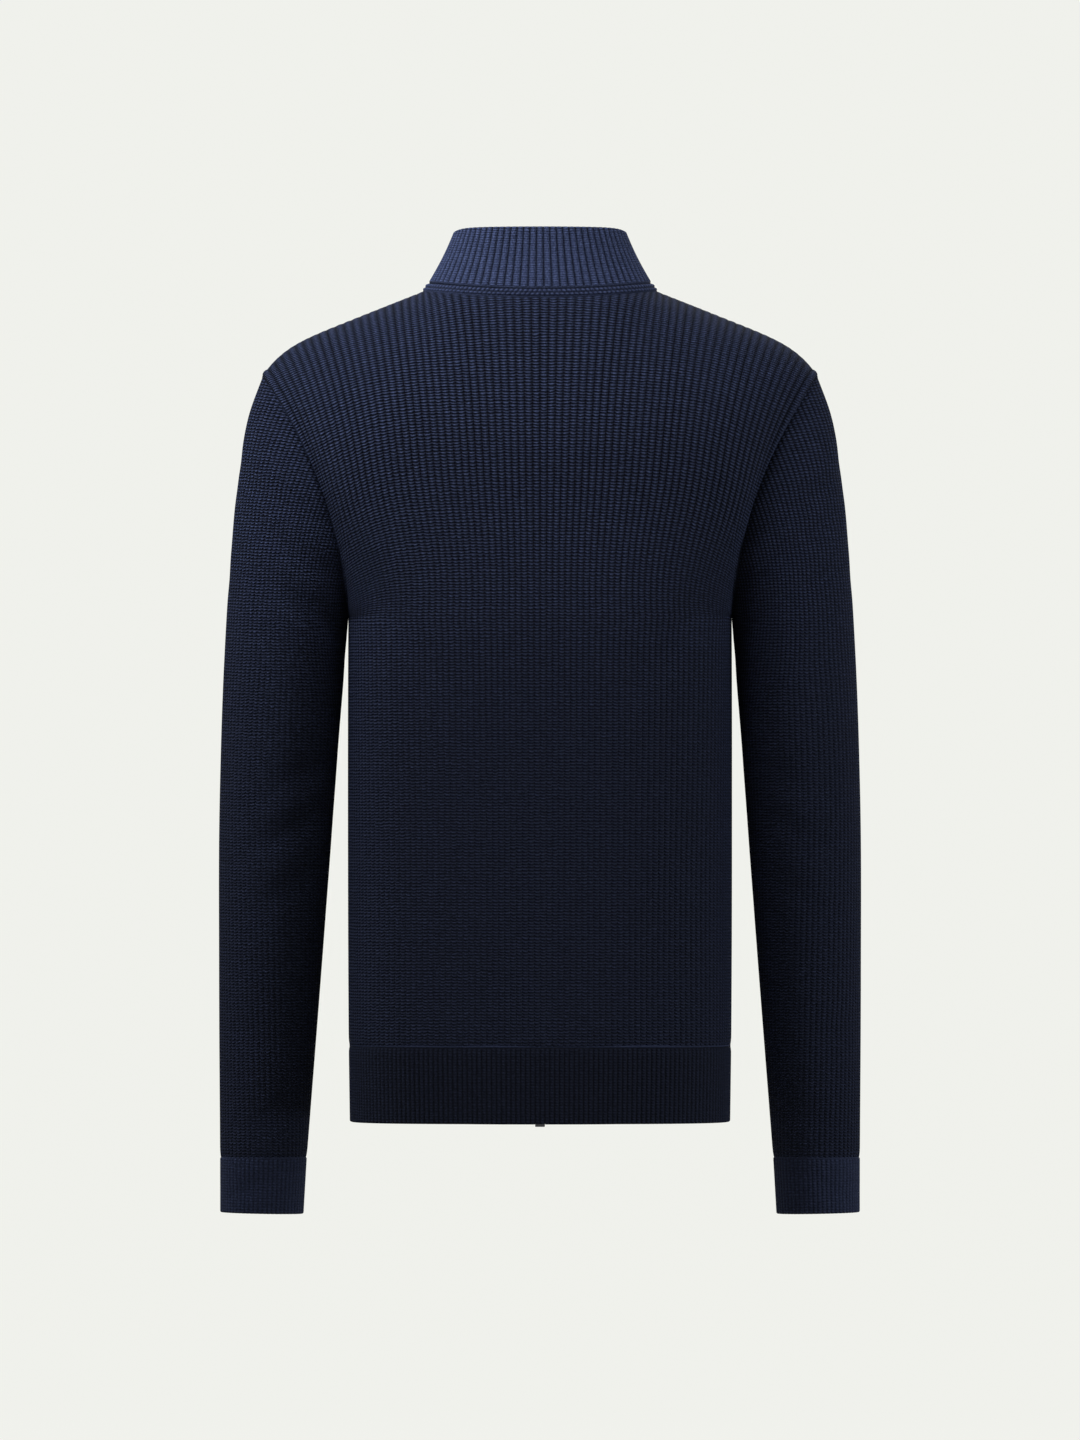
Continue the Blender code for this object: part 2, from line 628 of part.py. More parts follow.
def zip_strip(name, span, face, depth, start, stop, finish):
    """A strip that follows the centre front at a depth behind its outer surface, and its mirror image."""
    strip = cut_strip(front_strip(np.linspace(*span, 3)), start, stop)
    inward = -outward(strip)
    inward = unit(inward * (0.0, 1.0, 1.0))
    front = strip + inward * face
    back = strip + inward * (face + depth)
    at = np.linspace(0.0, 1.0, 3)
    place(f"{name}_left", wall_mesh(f"{name}_left", front, back, at, at), finish)
    place(
        f"{name}_right",
        wall_mesh(f"{name}_right", mirrored(front), mirrored(back), at, at),
        finish,
    )


def front_spot(from_top=None, from_hem=None):
    """A point on the centre front line and the tilt of the line there, about X."""
    strip = front_strip([0.0])[:, 0]
    length = np.concatenate([[0.0], np.cumsum(np.linalg.norm(np.diff(strip, axis=0), axis=1))])
    at = length[-1] - from_top if from_hem is None else from_hem
    spot = [np.interp(at, length, strip[:, k]) for k in range(3)]
    span = np.clip(np.searchsorted(length, at), 1, len(length) - 1)
    run = strip[span] - strip[span - 1]
    return spot, math.atan2(run[1], run[2])


def block(name, size, centre, finish, spot=(0, 0, 0), tilt=0.0, bevel=0.0003):
    """A box in a tilted frame: Z along the front line and -Y out of the cloth."""
    corners = [[(s - 0.5) * d for s, d in zip(corner, size)] for corner in np.ndindex(2, 2, 2)]
    faces = [(0, 1, 3, 2), (4, 6, 7, 5), (0, 4, 5, 1), (2, 3, 7, 6), (0, 2, 6, 4), (1, 5, 7, 3)]
    mesh = bpy.data.meshes.new(name)
    mesh.from_pydata([[c + o for c, o in zip(corner, centre)] for corner in corners], [], faces)
    made = place(name, mesh, finish)
    made.location = spot
    made.rotation_euler = (-tilt, 0.0, 0.0)
    if bevel:
        soft = made.modifiers.new("soft edges", "BEVEL")
        soft.width = bevel
        soft.segments = 1
        soft.limit_method = "ANGLE"
    return made


def join(target, piece, operation="UNION"):
    """Adds a piece to a target, or cuts it away, and hides the helper."""
    boolean = target.modifiers.new(piece.name, "BOOLEAN")
    boolean.operation = operation
    boolean.object = piece
    piece.hide_render = True
    piece.hide_set(True)
    piece.display_type = "WIRE"


def make_zip(tape_finish, metal):
    zip_strip("zip_tape", TAPE_SPAN, TAPE_FACE, TAPE_THICKNESS, TAPE_INSET, TAPE_INSET, tape_finish)
    chain_start = BOX_SIZE[2] - BOX_BELOW_HEM + SEAM_GAP
    chain_stop = SLIDER_FROM_TOP - CHAIN_PAST_SLIDER
    zip_strip("zip_chain", CHAIN_SPAN, CHAIN_FACE, CHAIN_DEPTH, chain_start, chain_stop, metal)

    spot, tilt = front_spot(from_hem=BOX_SIZE[2] / 2 - BOX_BELOW_HEM)
    block("zip_box", BOX_SIZE, (0, BOX_SIZE[1] / 2, 0), metal, spot, tilt)

    spot, tilt = front_spot(from_top=SLIDER_FROM_TOP)
    make_slider(spot, tilt, metal)
    make_pull(spot, tilt, metal)
    spot, tilt = front_spot(from_top=SLIDER_FROM_TOP - SLIDER_SIZE[1] / 2 - STOP_ABOVE_SLIDER)
    for name, side in (("zip_stop_left", 1), ("zip_stop_right", -1)):
        centre = (side * (CHAIN_SPAN[0] + STOP_SIZE[0] / 2), CHAIN_FACE + STOP_SIZE[1] / 2, 0)
        block(name, STOP_SIZE, centre, metal, spot, tilt)


def plate_face():
    """Depth of the slider's front face, in front of the cloth's outer surface."""
    return SLIDER_PLATE + SEAM_GAP - CHAIN_FACE


def hinge_depth():
    return plate_face() + HINGE_FROM_PLATE


def make_slider(spot, tilt, metal):
    """Two plates over the chain, a post between its halves, and the bail that holds the pull."""
    width, height = SLIDER_SIZE
    front = -plate_face()
    behind = TAPE_FACE + TAPE_THICKNESS + SEAM_GAP
    plate = (width, SLIDER_PLATE, height)
    slider = block("zip_slider", plate, (0, front + SLIDER_PLATE / 2, 0), metal, spot, tilt, 0)
    back = block("slider_back", plate, (0, behind + SLIDER_PLATE / 2, 0), metal, spot, tilt, 0)
    post_width, post_height, post_up = SLIDER_POST
    post_depth = behind - front
    post_centre = (0, front + SLIDER_PLATE / 2 + post_depth / 2, post_up)
    post = block("slider_post", (post_width, post_depth, post_height), post_centre, metal, spot, tilt, 0)
    root, top = front + SUNK_IN, front - 2 * HINGE_FROM_PLATE - BAIL_BAR
    bail_size = (BAIL_WIDTH, root - top, 2 * BAIL_REACH)
    bail = block("slider_bail", bail_size, (0, (root + top) / 2, 0), metal, spot, tilt, 0)
    eye_size = (2 * BAIL_WIDTH, 2 * HINGE_FROM_PLATE, 2 * (BAIL_REACH - BAIL_BAR))
    eye = block("slider_eye", eye_size, (0, front - HINGE_FROM_PLATE, 0), metal, spot, tilt, 0)
    join(bail, eye, "DIFFERENCE")
    for piece in (back, post, bail):
        join(slider, piece)


def make_pull(spot, tilt, metal):
    """A flat tab that hangs from the bail by its top bar and swings about it."""
    width, thickness, length = PULL_SIZE
    depth = -hinge_depth()
    centre = (0, depth, PULL_BAR / 2 - length / 2)
    pull = block("zip_pull", (width, thickness, length), centre, metal, spot, tilt, 0)
    window_width, window_length = PULL_WINDOW
    window_centre = (0, depth, -PULL_BAR / 2 - window_length / 2)
    window_size = (window_width, 4 * thickness, window_length)
    window = block("pull_window", window_size, window_centre, metal, spot, tilt, 0)
    join(pull, window, "DIFFERENCE")


# ------------------------------------------------------------------------------------- assembly


def main():
    for item in list(bpy.data.objects):
        bpy.data.objects.remove(item)
    knit = material("navy_knit", NAVY, 0.9, sheen=0.4)
    rib = material("navy_rib", NAVY, 0.9, sheen=0.4)
    tape = material("navy_tape", TAPE_NAVY, 0.8)
    metal = material("zip_metal", METAL, 0.35, 1.0)
    knit_back(knit)
    knit_fronts(knit)
    knit_sleeve(knit)
    knit_hem(rib)
    knit_cuffs(rib)
    knit_collar(rib)
    knit_neck_trim(rib)
    make_zip(tape, metal)


main()
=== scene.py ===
"""Rib-knit zip-up cardigan with a stand collar, seen from behind and filled out as if it were worn."""

import math

import bpy
import numpy as np
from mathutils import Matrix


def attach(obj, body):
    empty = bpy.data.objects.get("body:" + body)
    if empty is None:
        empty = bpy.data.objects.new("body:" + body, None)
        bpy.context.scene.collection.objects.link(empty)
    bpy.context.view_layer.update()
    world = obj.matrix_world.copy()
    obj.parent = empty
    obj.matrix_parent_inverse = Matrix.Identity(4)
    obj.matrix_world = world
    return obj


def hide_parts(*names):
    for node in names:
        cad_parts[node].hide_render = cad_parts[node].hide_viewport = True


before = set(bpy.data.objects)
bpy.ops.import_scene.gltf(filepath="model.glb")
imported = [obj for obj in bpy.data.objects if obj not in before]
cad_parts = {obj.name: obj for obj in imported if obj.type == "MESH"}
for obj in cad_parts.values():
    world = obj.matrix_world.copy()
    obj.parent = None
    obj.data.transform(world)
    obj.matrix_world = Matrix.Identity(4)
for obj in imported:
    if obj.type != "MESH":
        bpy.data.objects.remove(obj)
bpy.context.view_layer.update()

# ------------------------------------------------------------------------------------------------
# Body panels: a back and two fronts in half-cardigan knit of thick navy yarn, each knitted to shape and
# narrowed along the armholes. Each is a thin wall: an outer face with raised ribs over a plain inner face.

KNIT_WALL = 0.0026
RIB_HEIGHT = 0.0013
EDGE_GAP = 0.00015  # half of the gap at a seam
SAMPLES = 241  # along one row, before its columns are picked
PER_RIB = 6  # grid columns to a rib
COURSE = 0.0026  # height of one row of stitches
MIRROR = np.array((-1.0, 1.0, 1.0))
FLIPS = (MIRROR, MIRROR, 1)  # for a piece's points, its way out, and its fields

SHOULDER_TIP = np.array((0.2328, -0.0697))  # x, z
UNDERARM = np.array((0.1609, -0.2723))
ARMHOLE_DEPTH = 0.056
ARMHOLE_BOW = 0.0175
SIDE_SEAM = -0.002
SIDE_POWER = 3.2
YOKE_POWER = 2.5
BODY_RINGS = np.array(
    # height, half width, depth behind, depth in front
    (
        (-0.6310, 0.1606, 0.1030, 0.1080),
        (-0.4600, 0.1613, 0.1035, 0.1110),
        (UNDERARM[1], UNDERARM[0], 0.1120, 0.1200),
    )
)
YOKE_HEIGHT = {"back": -0.135, "front": -0.152}
YOKE_DEPTH = {"back": 0.1120, "front": 0.1150}
ROW_DROP_POWER = 3.0
NECK_ROLL = 1.4
SHOULDER_ROLL = 2.0
NECK_SOFTENING = 75
NECK_SOFTENING_POWER = 0.7
SHOULDER_SLOPE = 0.395
SHOULDER_ROUND = 0.0178
SHOULDER_ROUND_POWER = 9
DEPTH_WEIGHT = 0.35
NECK_POWER = 2.2
FRONT_LEVELNESS = 2
# half width, depth behind, depth in front, height behind, at the side, in front, levelness behind
NECK_SEAM = (0.0990, 0.0730, 0.0770, -0.0052, 0.0010, -0.0740, 2)
NECK_SEAM_EASE = 0.0002
FRONT_EDGE = 0.0045  # from the centre line to the knitted front edge

BODY_ROWS = (66, 30, 28)  # grid rows below the underarm, up to the yoke, and over the shoulder
RIM_ROWS = np.array((0.0003, 0.0008, 0.0015))  # extra rows at a rim, so that it can be round
TOP_RIM_TURNS = np.array((87.9, 88.8, 89.4))
RIBS_LOW = 46  # ribs on half a panel below the armhole
RIBS_HIGH = 35  # and above it: the others end along the armhole
NARROWING = (6, 3)  # it starts this many rows under the armhole, and takes this many more than the armhole's
EDGE_RIBS = 5  # ribs that stay parallel to the armhole seam
FIRST_RIB = 0.0014  # the rib next to the seam stands this much higher
JOIN_TUCK = 0.0005  # how far the knit draws in where a band is linked to it
JOIN_REACH = 0.0040
SHOULDER_FLAT = 0.55  # how much shallower the ribs are where they cross the shoulder seam
SHOULDER_FLAT_REACH = 0.018
LOW_FLAT = 0.50  # and below the armholes


def unit(vectors):
    return vectors / np.maximum(np.linalg.norm(vectors, axis=-1, keepdims=True), 1e-12)


def smooth(x):
    x = np.clip(x, 0.0, 1.0)
    return x * x * (3 - 2 * x)


def bell(x, width):
    return np.exp(-((x / width) ** 2))


def spread(lines, weight=1.0):
    """Lines resampled at even steps of their length, where depth counts by a weight."""
    step = np.diff(lines, axis=1) * (1.0, weight, 1.0)
    length = np.cumsum(np.linalg.norm(step, axis=2), axis=1)
    length = np.concatenate([np.zeros((len(lines), 1)), length], axis=1)
    even = np.linspace(0.0, 1.0, SAMPLES)
    return np.array(
        [
            np.stack([np.interp(even * s[-1], s, line[:, k]) for k in range(3)], axis=1)
            for s, line in zip(length, lines)
        ]
    )


def pick(rows, shares):
    """The points of each row at shares of its length, which may differ from row to row."""
    at = np.linspace(0.0, 1.0, rows.shape[1])
    shares = np.broadcast_to(shares, (len(rows), np.shape(shares)[-1]))
    return np.array(
        [
            np.stack([np.interp(share, at, row[:, k]) for k in range(3)], axis=1)
            for row, share in zip(rows, shares)
        ]
    )


def row_lengths(rows):
    return np.linalg.norm(np.diff(rows, axis=1), axis=2).sum(axis=1)[:, None]


def heights_along(rows):
    """Length up each column of a grid from its first row."""
    step = np.linalg.norm(np.diff(rows, axis=0), axis=2)
    return np.concatenate([np.zeros_like(step[:1]), np.cumsum(step, axis=0)])


def armhole(turn):
    """The +X armhole seam, an oval bowed towards the body: turn is 0 at the shoulder, pi at the underarm."""
    centre, reach = (SHOULDER_TIP + UNDERARM) / 2, (SHOULDER_TIP - UNDERARM) / 2
    x = centre[0] + reach[0] * np.cos(turn) - ARMHOLE_BOW * np.sin(turn) ** 2
    y = SIDE_SEAM + ARMHOLE_DEPTH * np.sin(turn)
    z = centre[1] + reach[1] * np.cos(turn)
    return np.stack([x, y, z], axis=-1)


def neck_ring(ring, turn):
    """A neck ring by its angle from the centre back: an oval in plan, with powers of the sine in height."""
    half_width, behind, ahead, z_back, z_side, z_front, level = ring
    cos, sin = np.cos(turn), np.sin(turn)
    x = half_width * np.sign(sin) * np.abs(sin) ** (2 / NECK_POWER)
    y = np.where(cos > 0, behind, ahead) * np.sign(cos) * np.abs(cos) ** (2 / NECK_POWER)
    end = np.where(cos > 0, z_back, z_front)
    z = end + (z_side - end) * np.abs(sin) ** np.where(cos > 0, level, FRONT_LEVELNESS)
    return np.stack([x, y, z], axis=-1)


def ring_rows(heights, half_width, centre_y):
    """Half rings round the body: superellipses from the centre line to the side seam."""
    turn = np.linspace(0.0, math.pi / 2, SAMPLES)[None]
    x = half_width[:, None] * np.sin(turn) ** (2 / SIDE_POWER)
    y = SIDE_SEAM + (centre_y[:, None] - SIDE_SEAM) * np.cos(turn) ** (2 / SIDE_POWER)
    return spread(np.stack([x, y, np.broadcast_to(heights, x.shape)], axis=2))


def body_rows(heights, side):
    """The rings below the underarm: their width and depths follow parabolas in height."""
    rings = [np.polyval(np.polyfit(BODY_RINGS[:, 0], BODY_RINGS[:, k], 2), heights) for k in (1, 2, 3)]
    return ring_rows(heights[:, None], rings[0], rings[1] if side == "back" else -rings[2])


def arm_rows(turns, side):
    """Rows that end on the armhole, by degrees above the underarm. They droop towards it."""
    sign, column = (1, 2) if side == "back" else (-1, 3)
    edge = armhole(sign * (math.pi - np.radians(turns)))[:, None]
    share = (turns / 90)[:, None]
    under = BODY_RINGS[-1]
    centre_y = sign * ((1 - share) * under[column] + share * YOKE_DEPTH[side])
    centre_z = (1 - share) * under[0] + share * YOKE_HEIGHT[side]
    power = (1 - share) * SIDE_POWER + share * YOKE_POWER
    turn = np.linspace(0.0, math.pi / 2, SAMPLES)[None]
    across = np.sin(turn) ** (2 / power)
    x = edge[..., 0] * across
    y = edge[..., 1] + (centre_y - edge[..., 1]) * np.cos(turn) ** (2 / power)
    z = centre_z + (edge[..., 2] - centre_z) * across**ROW_DROP_POWER
    return spread(np.stack([x, y, z], axis=2))


def shoulder_seam():
    """From the neck to the tip: an even slope that rounds off at the tip."""
    point = neck_ring(NECK_SEAM, np.array([math.pi / 2]))[0]
    out = np.linspace(0.0, 1.0, SAMPLES)
    width = SHOULDER_TIP[0] - point[0]
    fall = SHOULDER_SLOPE * width * out + SHOULDER_ROUND * out**SHOULDER_ROUND_POWER
    z = point[2] + (SHOULDER_TIP[1] - point[2]) * fall / fall[-1]
    return np.stack([point[0] + width * out, point[1] + (SIDE_SEAM - point[1]) * out, z], axis=1)


def top_edge(side):
    """The panel's upper edge: round the neck from the centre, then down the shoulder seam to its tip."""
    turn = np.linspace(0.0, math.pi / 2, SAMPLES)
    neck = neck_ring(NECK_SEAM, turn if side == "back" else math.pi - turn)
    return spread(np.concatenate([neck[:-1], shoulder_seam()])[None], DEPTH_WEIGHT)[0]


def softened(line, reach):
    """A half row with its bends eased over a reach of samples: mirrored at its centre, kept at its end."""
    if reach < 1:
        return line
    before = line[reach:0:-1] * MIRROR
    after = 2 * line[-1] - line[-2 : -reach - 2 : -1]
    weights = np.hanning(2 * reach + 3)[1:-1]
    whole_line = np.concatenate([before, line, after])
    return np.stack(
        [np.convolve(whole_line[:, k], weights / weights.sum(), "valid") for k in range(3)], axis=1
    )


def shoulder_rows(turns, side):
    """Rows from the yoke (0) to the top edge (90), rolled over the shoulder on a rounded quarter turn."""
    yoke = arm_rows(np.array([90.0]), side)[0]
    edge = top_edge(side)
    turn = np.radians(turns)
    cos = np.maximum(np.cos(turn), 0.0)
    reaches = (NECK_SOFTENING * cos**NECK_SOFTENING_POWER).astype(int)
    top = np.array([softened(edge, reach) for reach in reaches])
    roll = NECK_ROLL + (SHOULDER_ROLL - NECK_ROLL) * smooth(np.linspace(0.0, 2.0, SAMPLES))[None]
    rise = np.sin(turn)[:, None] ** (2 / roll)
    hold = cos[:, None] ** (2 / roll)
    reach = (SHOULDER_TIP[0] - UNDERARM[0]) / 2
    out = rise * (reach + ARMHOLE_BOW * rise) / (reach + ARMHOLE_BOW)
    x = yoke[:, 0] + (top[..., 0] - yoke[:, 0]) * out
    y = top[..., 1] + (yoke[:, 1] - top[..., 1]) * hold
    z = yoke[:, 2] + (top[..., 2] - yoke[:, 2]) * rise
    return np.stack([x, y, z], axis=2)


def panel_rows(side):
    """All the rows of half a panel, from the hem join to the top edge."""
    low, arm, over = BODY_ROWS
    heights = np.linspace(BODY_RINGS[0, 0], UNDERARM[1], low + 1)
    heights = np.sort(np.append(heights, heights[0] + RIM_ROWS))
    arm_turns = np.linspace(0.0, 90.0, arm + 1)[1:]
    over_turns = np.sort(np.append(np.linspace(0.0, 90.0, over + 1)[1:], TOP_RIM_TURNS))
    body = body_rows(heights, side)
    return np.concatenate([body, arm_rows(arm_turns, side), shoulder_rows(over_turns, side)])


def rib_profile(rib, breadth=0.75):
    """Height of a rib from 0 to 1: a sine to a power, high at half numbers, with valleys at whole ones."""
    return np.abs(np.sin(math.pi * rib)) ** breadth


def normals_of(grid, closed=False):
    """Unit normals by central differences along columns and rows."""
    if closed:
        across = np.roll(grid, -1, axis=1) - np.roll(grid, 1, axis=1)
    else:
        across = np.gradient(grid, axis=1)
    return unit(np.cross(across, np.gradient(grid, axis=0)))


def rim_inset(distance, wall):
    """How far a face turns in near a rim: a quarter circle of half the wall."""
    near = np.clip(1 - 2 * distance / wall, 0.0, 1.0)
    return wall / 2 * (1 - np.sqrt(1 - 0.97 * near**2))


def rims(up, shares, lengths, wall, front):
    """The inset near the lower and upper rims, the side seam, and the front edge if there is one."""
    inset = rim_inset(np.minimum(up[-1] - up, up), wall)
    inset = np.maximum(inset, rim_inset((1 - shares) * lengths, wall))
    return np.maximum(inset, rim_inset(shares * lengths, wall)) if front else inset


def knit_fields(crest, course, rib, inset, dip):
    """A grid's fields: rib height, course, place on the rib's flank, inset at rims, and dip inwards."""
    return np.stack(np.broadcast_arrays(crest, course, np.sin(2 * math.pi * rib) ** 2, inset, dip), axis=-1)


def whole(half):
    """A half that starts on the centre line and its mirror image, as one set of grids from +X to -X."""
    return [np.concatenate([grid[:, :0:-1], grid * flip], axis=1) for grid, flip in zip(half, FLIPS)]


def mirrored(half):
    return [(grid * flip)[:, ::-1] for grid, flip in zip(half, FLIPS)]


def mesh_piece(name, points, face_sets, finish, stitches=None):
    """A smooth-shaded object from points and arrays of faces with one count of corners each."""
    mesh = bpy.data.meshes.new(name)
    mesh.vertices.add(len(points))
    mesh.vertices.foreach_set("co", points.astype(np.float32).ravel())
    sizes = np.concatenate([np.full(len(faces), faces.shape[1]) for faces in face_sets])
    mesh.loops.add(int(sizes.sum()))
    corners = np.concatenate([faces.ravel() for faces in face_sets])
    mesh.loops.foreach_set("vertex_index", corners.astype(np.int32))
    mesh.polygons.add(len(sizes))
    mesh.polygons.foreach_set("loop_start", (np.cumsum(sizes) - sizes).astype(np.int32))
    mesh.update(calc_edges=True)
    mesh.validate()
    mesh.shade_smooth()
    if stitches is not None:
        knit = mesh.attributes.new("stitch", "FLOAT_VECTOR", "POINT")
        knit.data.foreach_set("vector", stitches.astype(np.float32).ravel())
    mesh.materials.append(finish)
    made = bpy.data.objects.new(name, mesh)
    bpy.context.scene.collection.objects.link(made)
    return made


def shell(name, outer, inner, stitches, finish, closed=False):
    """A thin wall between an outer grid and every PER_RIB-th column of an inner one.

    Faces are quads on both sides and down the open edges, and fans of triangles along the two rims.
    """
    rows, columns = outer.shape[:2]
    keep = np.arange(0, columns, PER_RIB)
    inner, inner_stitches = inner[:, keep], stitches[:, keep]
    out = np.arange(rows * columns).reshape(rows, columns)
    inn = np.arange(inner.shape[0] * inner.shape[1]).reshape(rows, -1) + out.size
    if closed:
        out, inn = (np.concatenate([index, index[:, :1]], axis=1) for index in (out, inn))
    quads = [
        np.stack([out[:-1, :-1], out[:-1, 1:], out[1:, 1:], out[1:, :-1]], axis=-1),
        np.stack([inn[:-1, :-1], inn[1:, :-1], inn[1:, 1:], inn[:-1, 1:]], axis=-1),
    ]
    if not closed:
        quads.append(np.stack([out[:-1, 0], out[1:, 0], inn[1:, 0], inn[:-1, 0]], axis=-1))
        quads.append(np.stack([out[:-1, -1], inn[:-1, -1], inn[1:, -1], out[1:, -1]], axis=-1))
    quads = np.concatenate([quad.reshape(-1, 4) for quad in quads])
    column, cell = np.arange(out.shape[1] - 1), np.arange(inn.shape[1] - 1)
    near = (column + PER_RIB // 2) // PER_RIB
    middle = cell * PER_RIB + PER_RIB // 2
    fans = []
    for row, turned in ((-1, False), (0, True)):
        fan = np.stack([out[row, column], out[row, column + 1], inn[row, near]], axis=1)
        tie = np.stack([inn[row, cell], out[row, middle], inn[row, cell + 1]], axis=1)
        both = np.concatenate([fan, tie])
        fans.append(both[:, ::-1] if turned else both)
    points = np.concatenate([outer.reshape(-1, 3), inner.reshape(-1, 3)])
    values = np.concatenate([stitches.reshape(-1, 3), inner_stitches.reshape(-1, 3)])
    return mesh_piece(name, points, [quads, np.concatenate(fans)], finish, values)


def knit_piece(name, grids, wall, relief, finish, closed=False):
    """A wall from its smooth outer points, the way out of the cloth there, and its fields."""
    base, out, fields = grids
    crest, inset, dip = fields[..., 0], fields[..., 3], fields[..., 4]
    outer = base - out * (relief * (1 - crest) + inset + dip)[..., None]
    inner = base - out * (wall - inset + dip)[..., None]
    return shell(name, outer, inner, fields[..., :3], finish, closed)


def new_material(name):
    """A material, its nodes and links, and short ways to add a maths node, a noise or a colour ramp to it."""
    made = bpy.data.materials.new(name)
    made.use_nodes = True
    nodes, links = made.node_tree.nodes, made.node_tree.links
    place = nodes.new("ShaderNodeTexCoord").outputs["Object"]

    def sums(operation, first, second=0.0):
        added = nodes.new("ShaderNodeMath")
        added.operation = operation
        for socket, value in zip(added.inputs, (first, second)):
            if isinstance(value, bpy.types.NodeSocket):
                links.new(value, socket)
            else:
                socket.default_value = value
        return added.outputs[0]

    def noise(scale, detail):
        added = nodes.new("ShaderNodeTexNoise")
        added.inputs["Scale"].default_value = scale
        added.inputs["Detail"].default_value = detail
        links.new(place, added.inputs["Vector"])
        return added.outputs["Fac"]

    def ramp(fac, dark, light, ends=(0.0, 1.0)):
        added = nodes.new("ShaderNodeValToRGB")
        for stop, end, shade in zip(added.color_ramp.elements, ends, (dark, light)):
            stop.position = end
            stop.color = (*shade, 1.0)
        links.new(fac, added.inputs["Fac"])
        return added.outputs["Color"]

    return made, nodes, links, sums, noise, ramp


def knit_material(name, deep, lit, fuzz, bump, gap, arch, valley_shade_floor, calm=False):
    """Knitted yarn, read from the stitch attribute: rib height, course, and place on the rib's flank.

    Each course is a cosine wave that arches from the crest of a rib to the valley, so that it looks like rows
    of loops. The holes between loops and the valleys between ribs are painted darker, as painted shade, and
    noise breaks up the yarn.
    With calm, the knit below the chest has less of this painted shade, so its ribs and holes show less, and
    it is painted darker towards the bottom, as painted shade where the light from above falls off.
    """
    made, nodes, links, sums, noise, ramp = new_material(name)
    shader = nodes["Principled BSDF"]
    stitch = nodes.new("ShaderNodeAttribute")
    stitch.attribute_name = "stitch"
    parts = nodes.new("ShaderNodeSeparateXYZ")
    links.new(stitch.outputs["Vector"], parts.inputs[0])
    crest, course, flank = parts.outputs
    loose = sums("MULTIPLY", sums("SUBTRACT", noise(130.0, 2.0), 0.5), 0.9)
    along = sums("ADD", sums("ADD", course, sums("MULTIPLY", crest, arch)), loose)
    wave = sums("COSINE", sums("MULTIPLY", along, 2 * math.pi))
    loop = sums("ADD", sums("MULTIPLY", wave, 0.5), 0.5)
    height = sums("MULTIPLY", loop, sums("ADD", sums("MULTIPLY", crest, 0.7), 0.3))
    height = sums("ADD", height, sums("MULTIPLY", noise(1500.0, 2.0), 0.35))
    relief = nodes.new("ShaderNodeBump")
    relief.inputs["Strength"].default_value = 1.0
    relief.inputs["Distance"].default_value = bump
    links.new(height, relief.inputs["Height"])
    links.new(relief.outputs["Normal"], shader.inputs["Normal"])

    def calmed(value, middle, least):
        """Painted shade drawn towards a middle one low on the garment, to a least share of its contrast."""
        if not calm:
            return value
        share = nodes.new("ShaderNodeMapRange")
        share.interpolation_type = "SMOOTHSTEP"
        for socket, bound in zip(list(share.inputs)[1:5], (*CALM_HEIGHTS, least, 1.0)):
            socket.default_value = bound
        links.new(spot.outputs[2], share.inputs[0])
        return sums("ADD", sums("MULTIPLY", sums("SUBTRACT", value, middle), share.outputs[0]), middle)

    if calm:
        spot = nodes.new("ShaderNodeSeparateXYZ")
        links.new(nodes["Texture Coordinate"].outputs["Object"], spot.inputs[0])
    # Painted shade: the holes between loops are painted darker, as the bump casts no shadow into them.
    hole = sums("MULTIPLY", sums("SUBTRACT", 1.0, loop), sums("ADD", sums("MULTIPLY", flank, 0.2), 0.8))
    painted_hole_shade = calmed(sums("SUBTRACT", 1.0, sums("MULTIPLY", hole, gap)), 1 - CALM_HOLE * gap, CALM_ROWS)
    # Painted shade: the valleys between ribs are painted darker, down to a least share of the colour.
    valley = sums("ADD", sums("MULTIPLY", sums("POWER", crest, 1.5), 1 - valley_shade_floor), valley_shade_floor)
    valley = calmed(valley, CALM_CREST * (1 - valley_shade_floor) + valley_shade_floor, CALM_RIBS)
    shade = sums("MULTIPLY", painted_hole_shade, valley)
    shaded = nodes.new("ShaderNodeVectorMath")
    shaded.operation = "SCALE"
    links.new(ramp(noise(600.0, 3.0), deep, lit, (0.32, 0.68)), shaded.inputs[0])
    links.new(shade, shaded.inputs["Scale"])
    links.new(shaded.outputs[0], shader.inputs["Base Color"])
    shader.inputs["Roughness"].default_value = 0.9
    shader.inputs["Specular IOR Level"].default_value = 0.08
    shader.inputs["Sheen Weight"].default_value = fuzz
    shader.inputs["Sheen Roughness"].default_value = 0.5
    shader.inputs["Sheen Tint"].default_value = (0.20, 0.30, 0.70, 1.0)
    return made


NAVY_DEEP = (0.032, 0.045, 0.104)
NAVY_LIT = (0.062, 0.084, 0.184)


def navy(share):
    """The two shades of the yarn, darkened alike."""
    return [tuple(share * np.array(shade)) for shade in (NAVY_DEEP, NAVY_LIT)]


# Painted shade low on the garment: below the chest, the painted shade of holes and valleys is calmed towards
# a hole and rib height darker than their average. So the knit there is painted darker, as painted shade where
# the light from above falls off.
CALM_HEIGHTS = (-0.42, -0.14)
CALM_ROWS, CALM_RIBS = 0.65, 0.20  # the least contrast of rows and of ribs
CALM_HOLE, CALM_CREST = 0.60, 0.40  # the hole and rib height that shades are drawn towards
body_yarn = knit_material(
    "half cardigan knit", NAVY_DEEP, NAVY_LIT,
    fuzz=0.03, bump=0.0020, gap=0.94, arch=0.38, valley_shade_floor=0.08, calm=True,
)

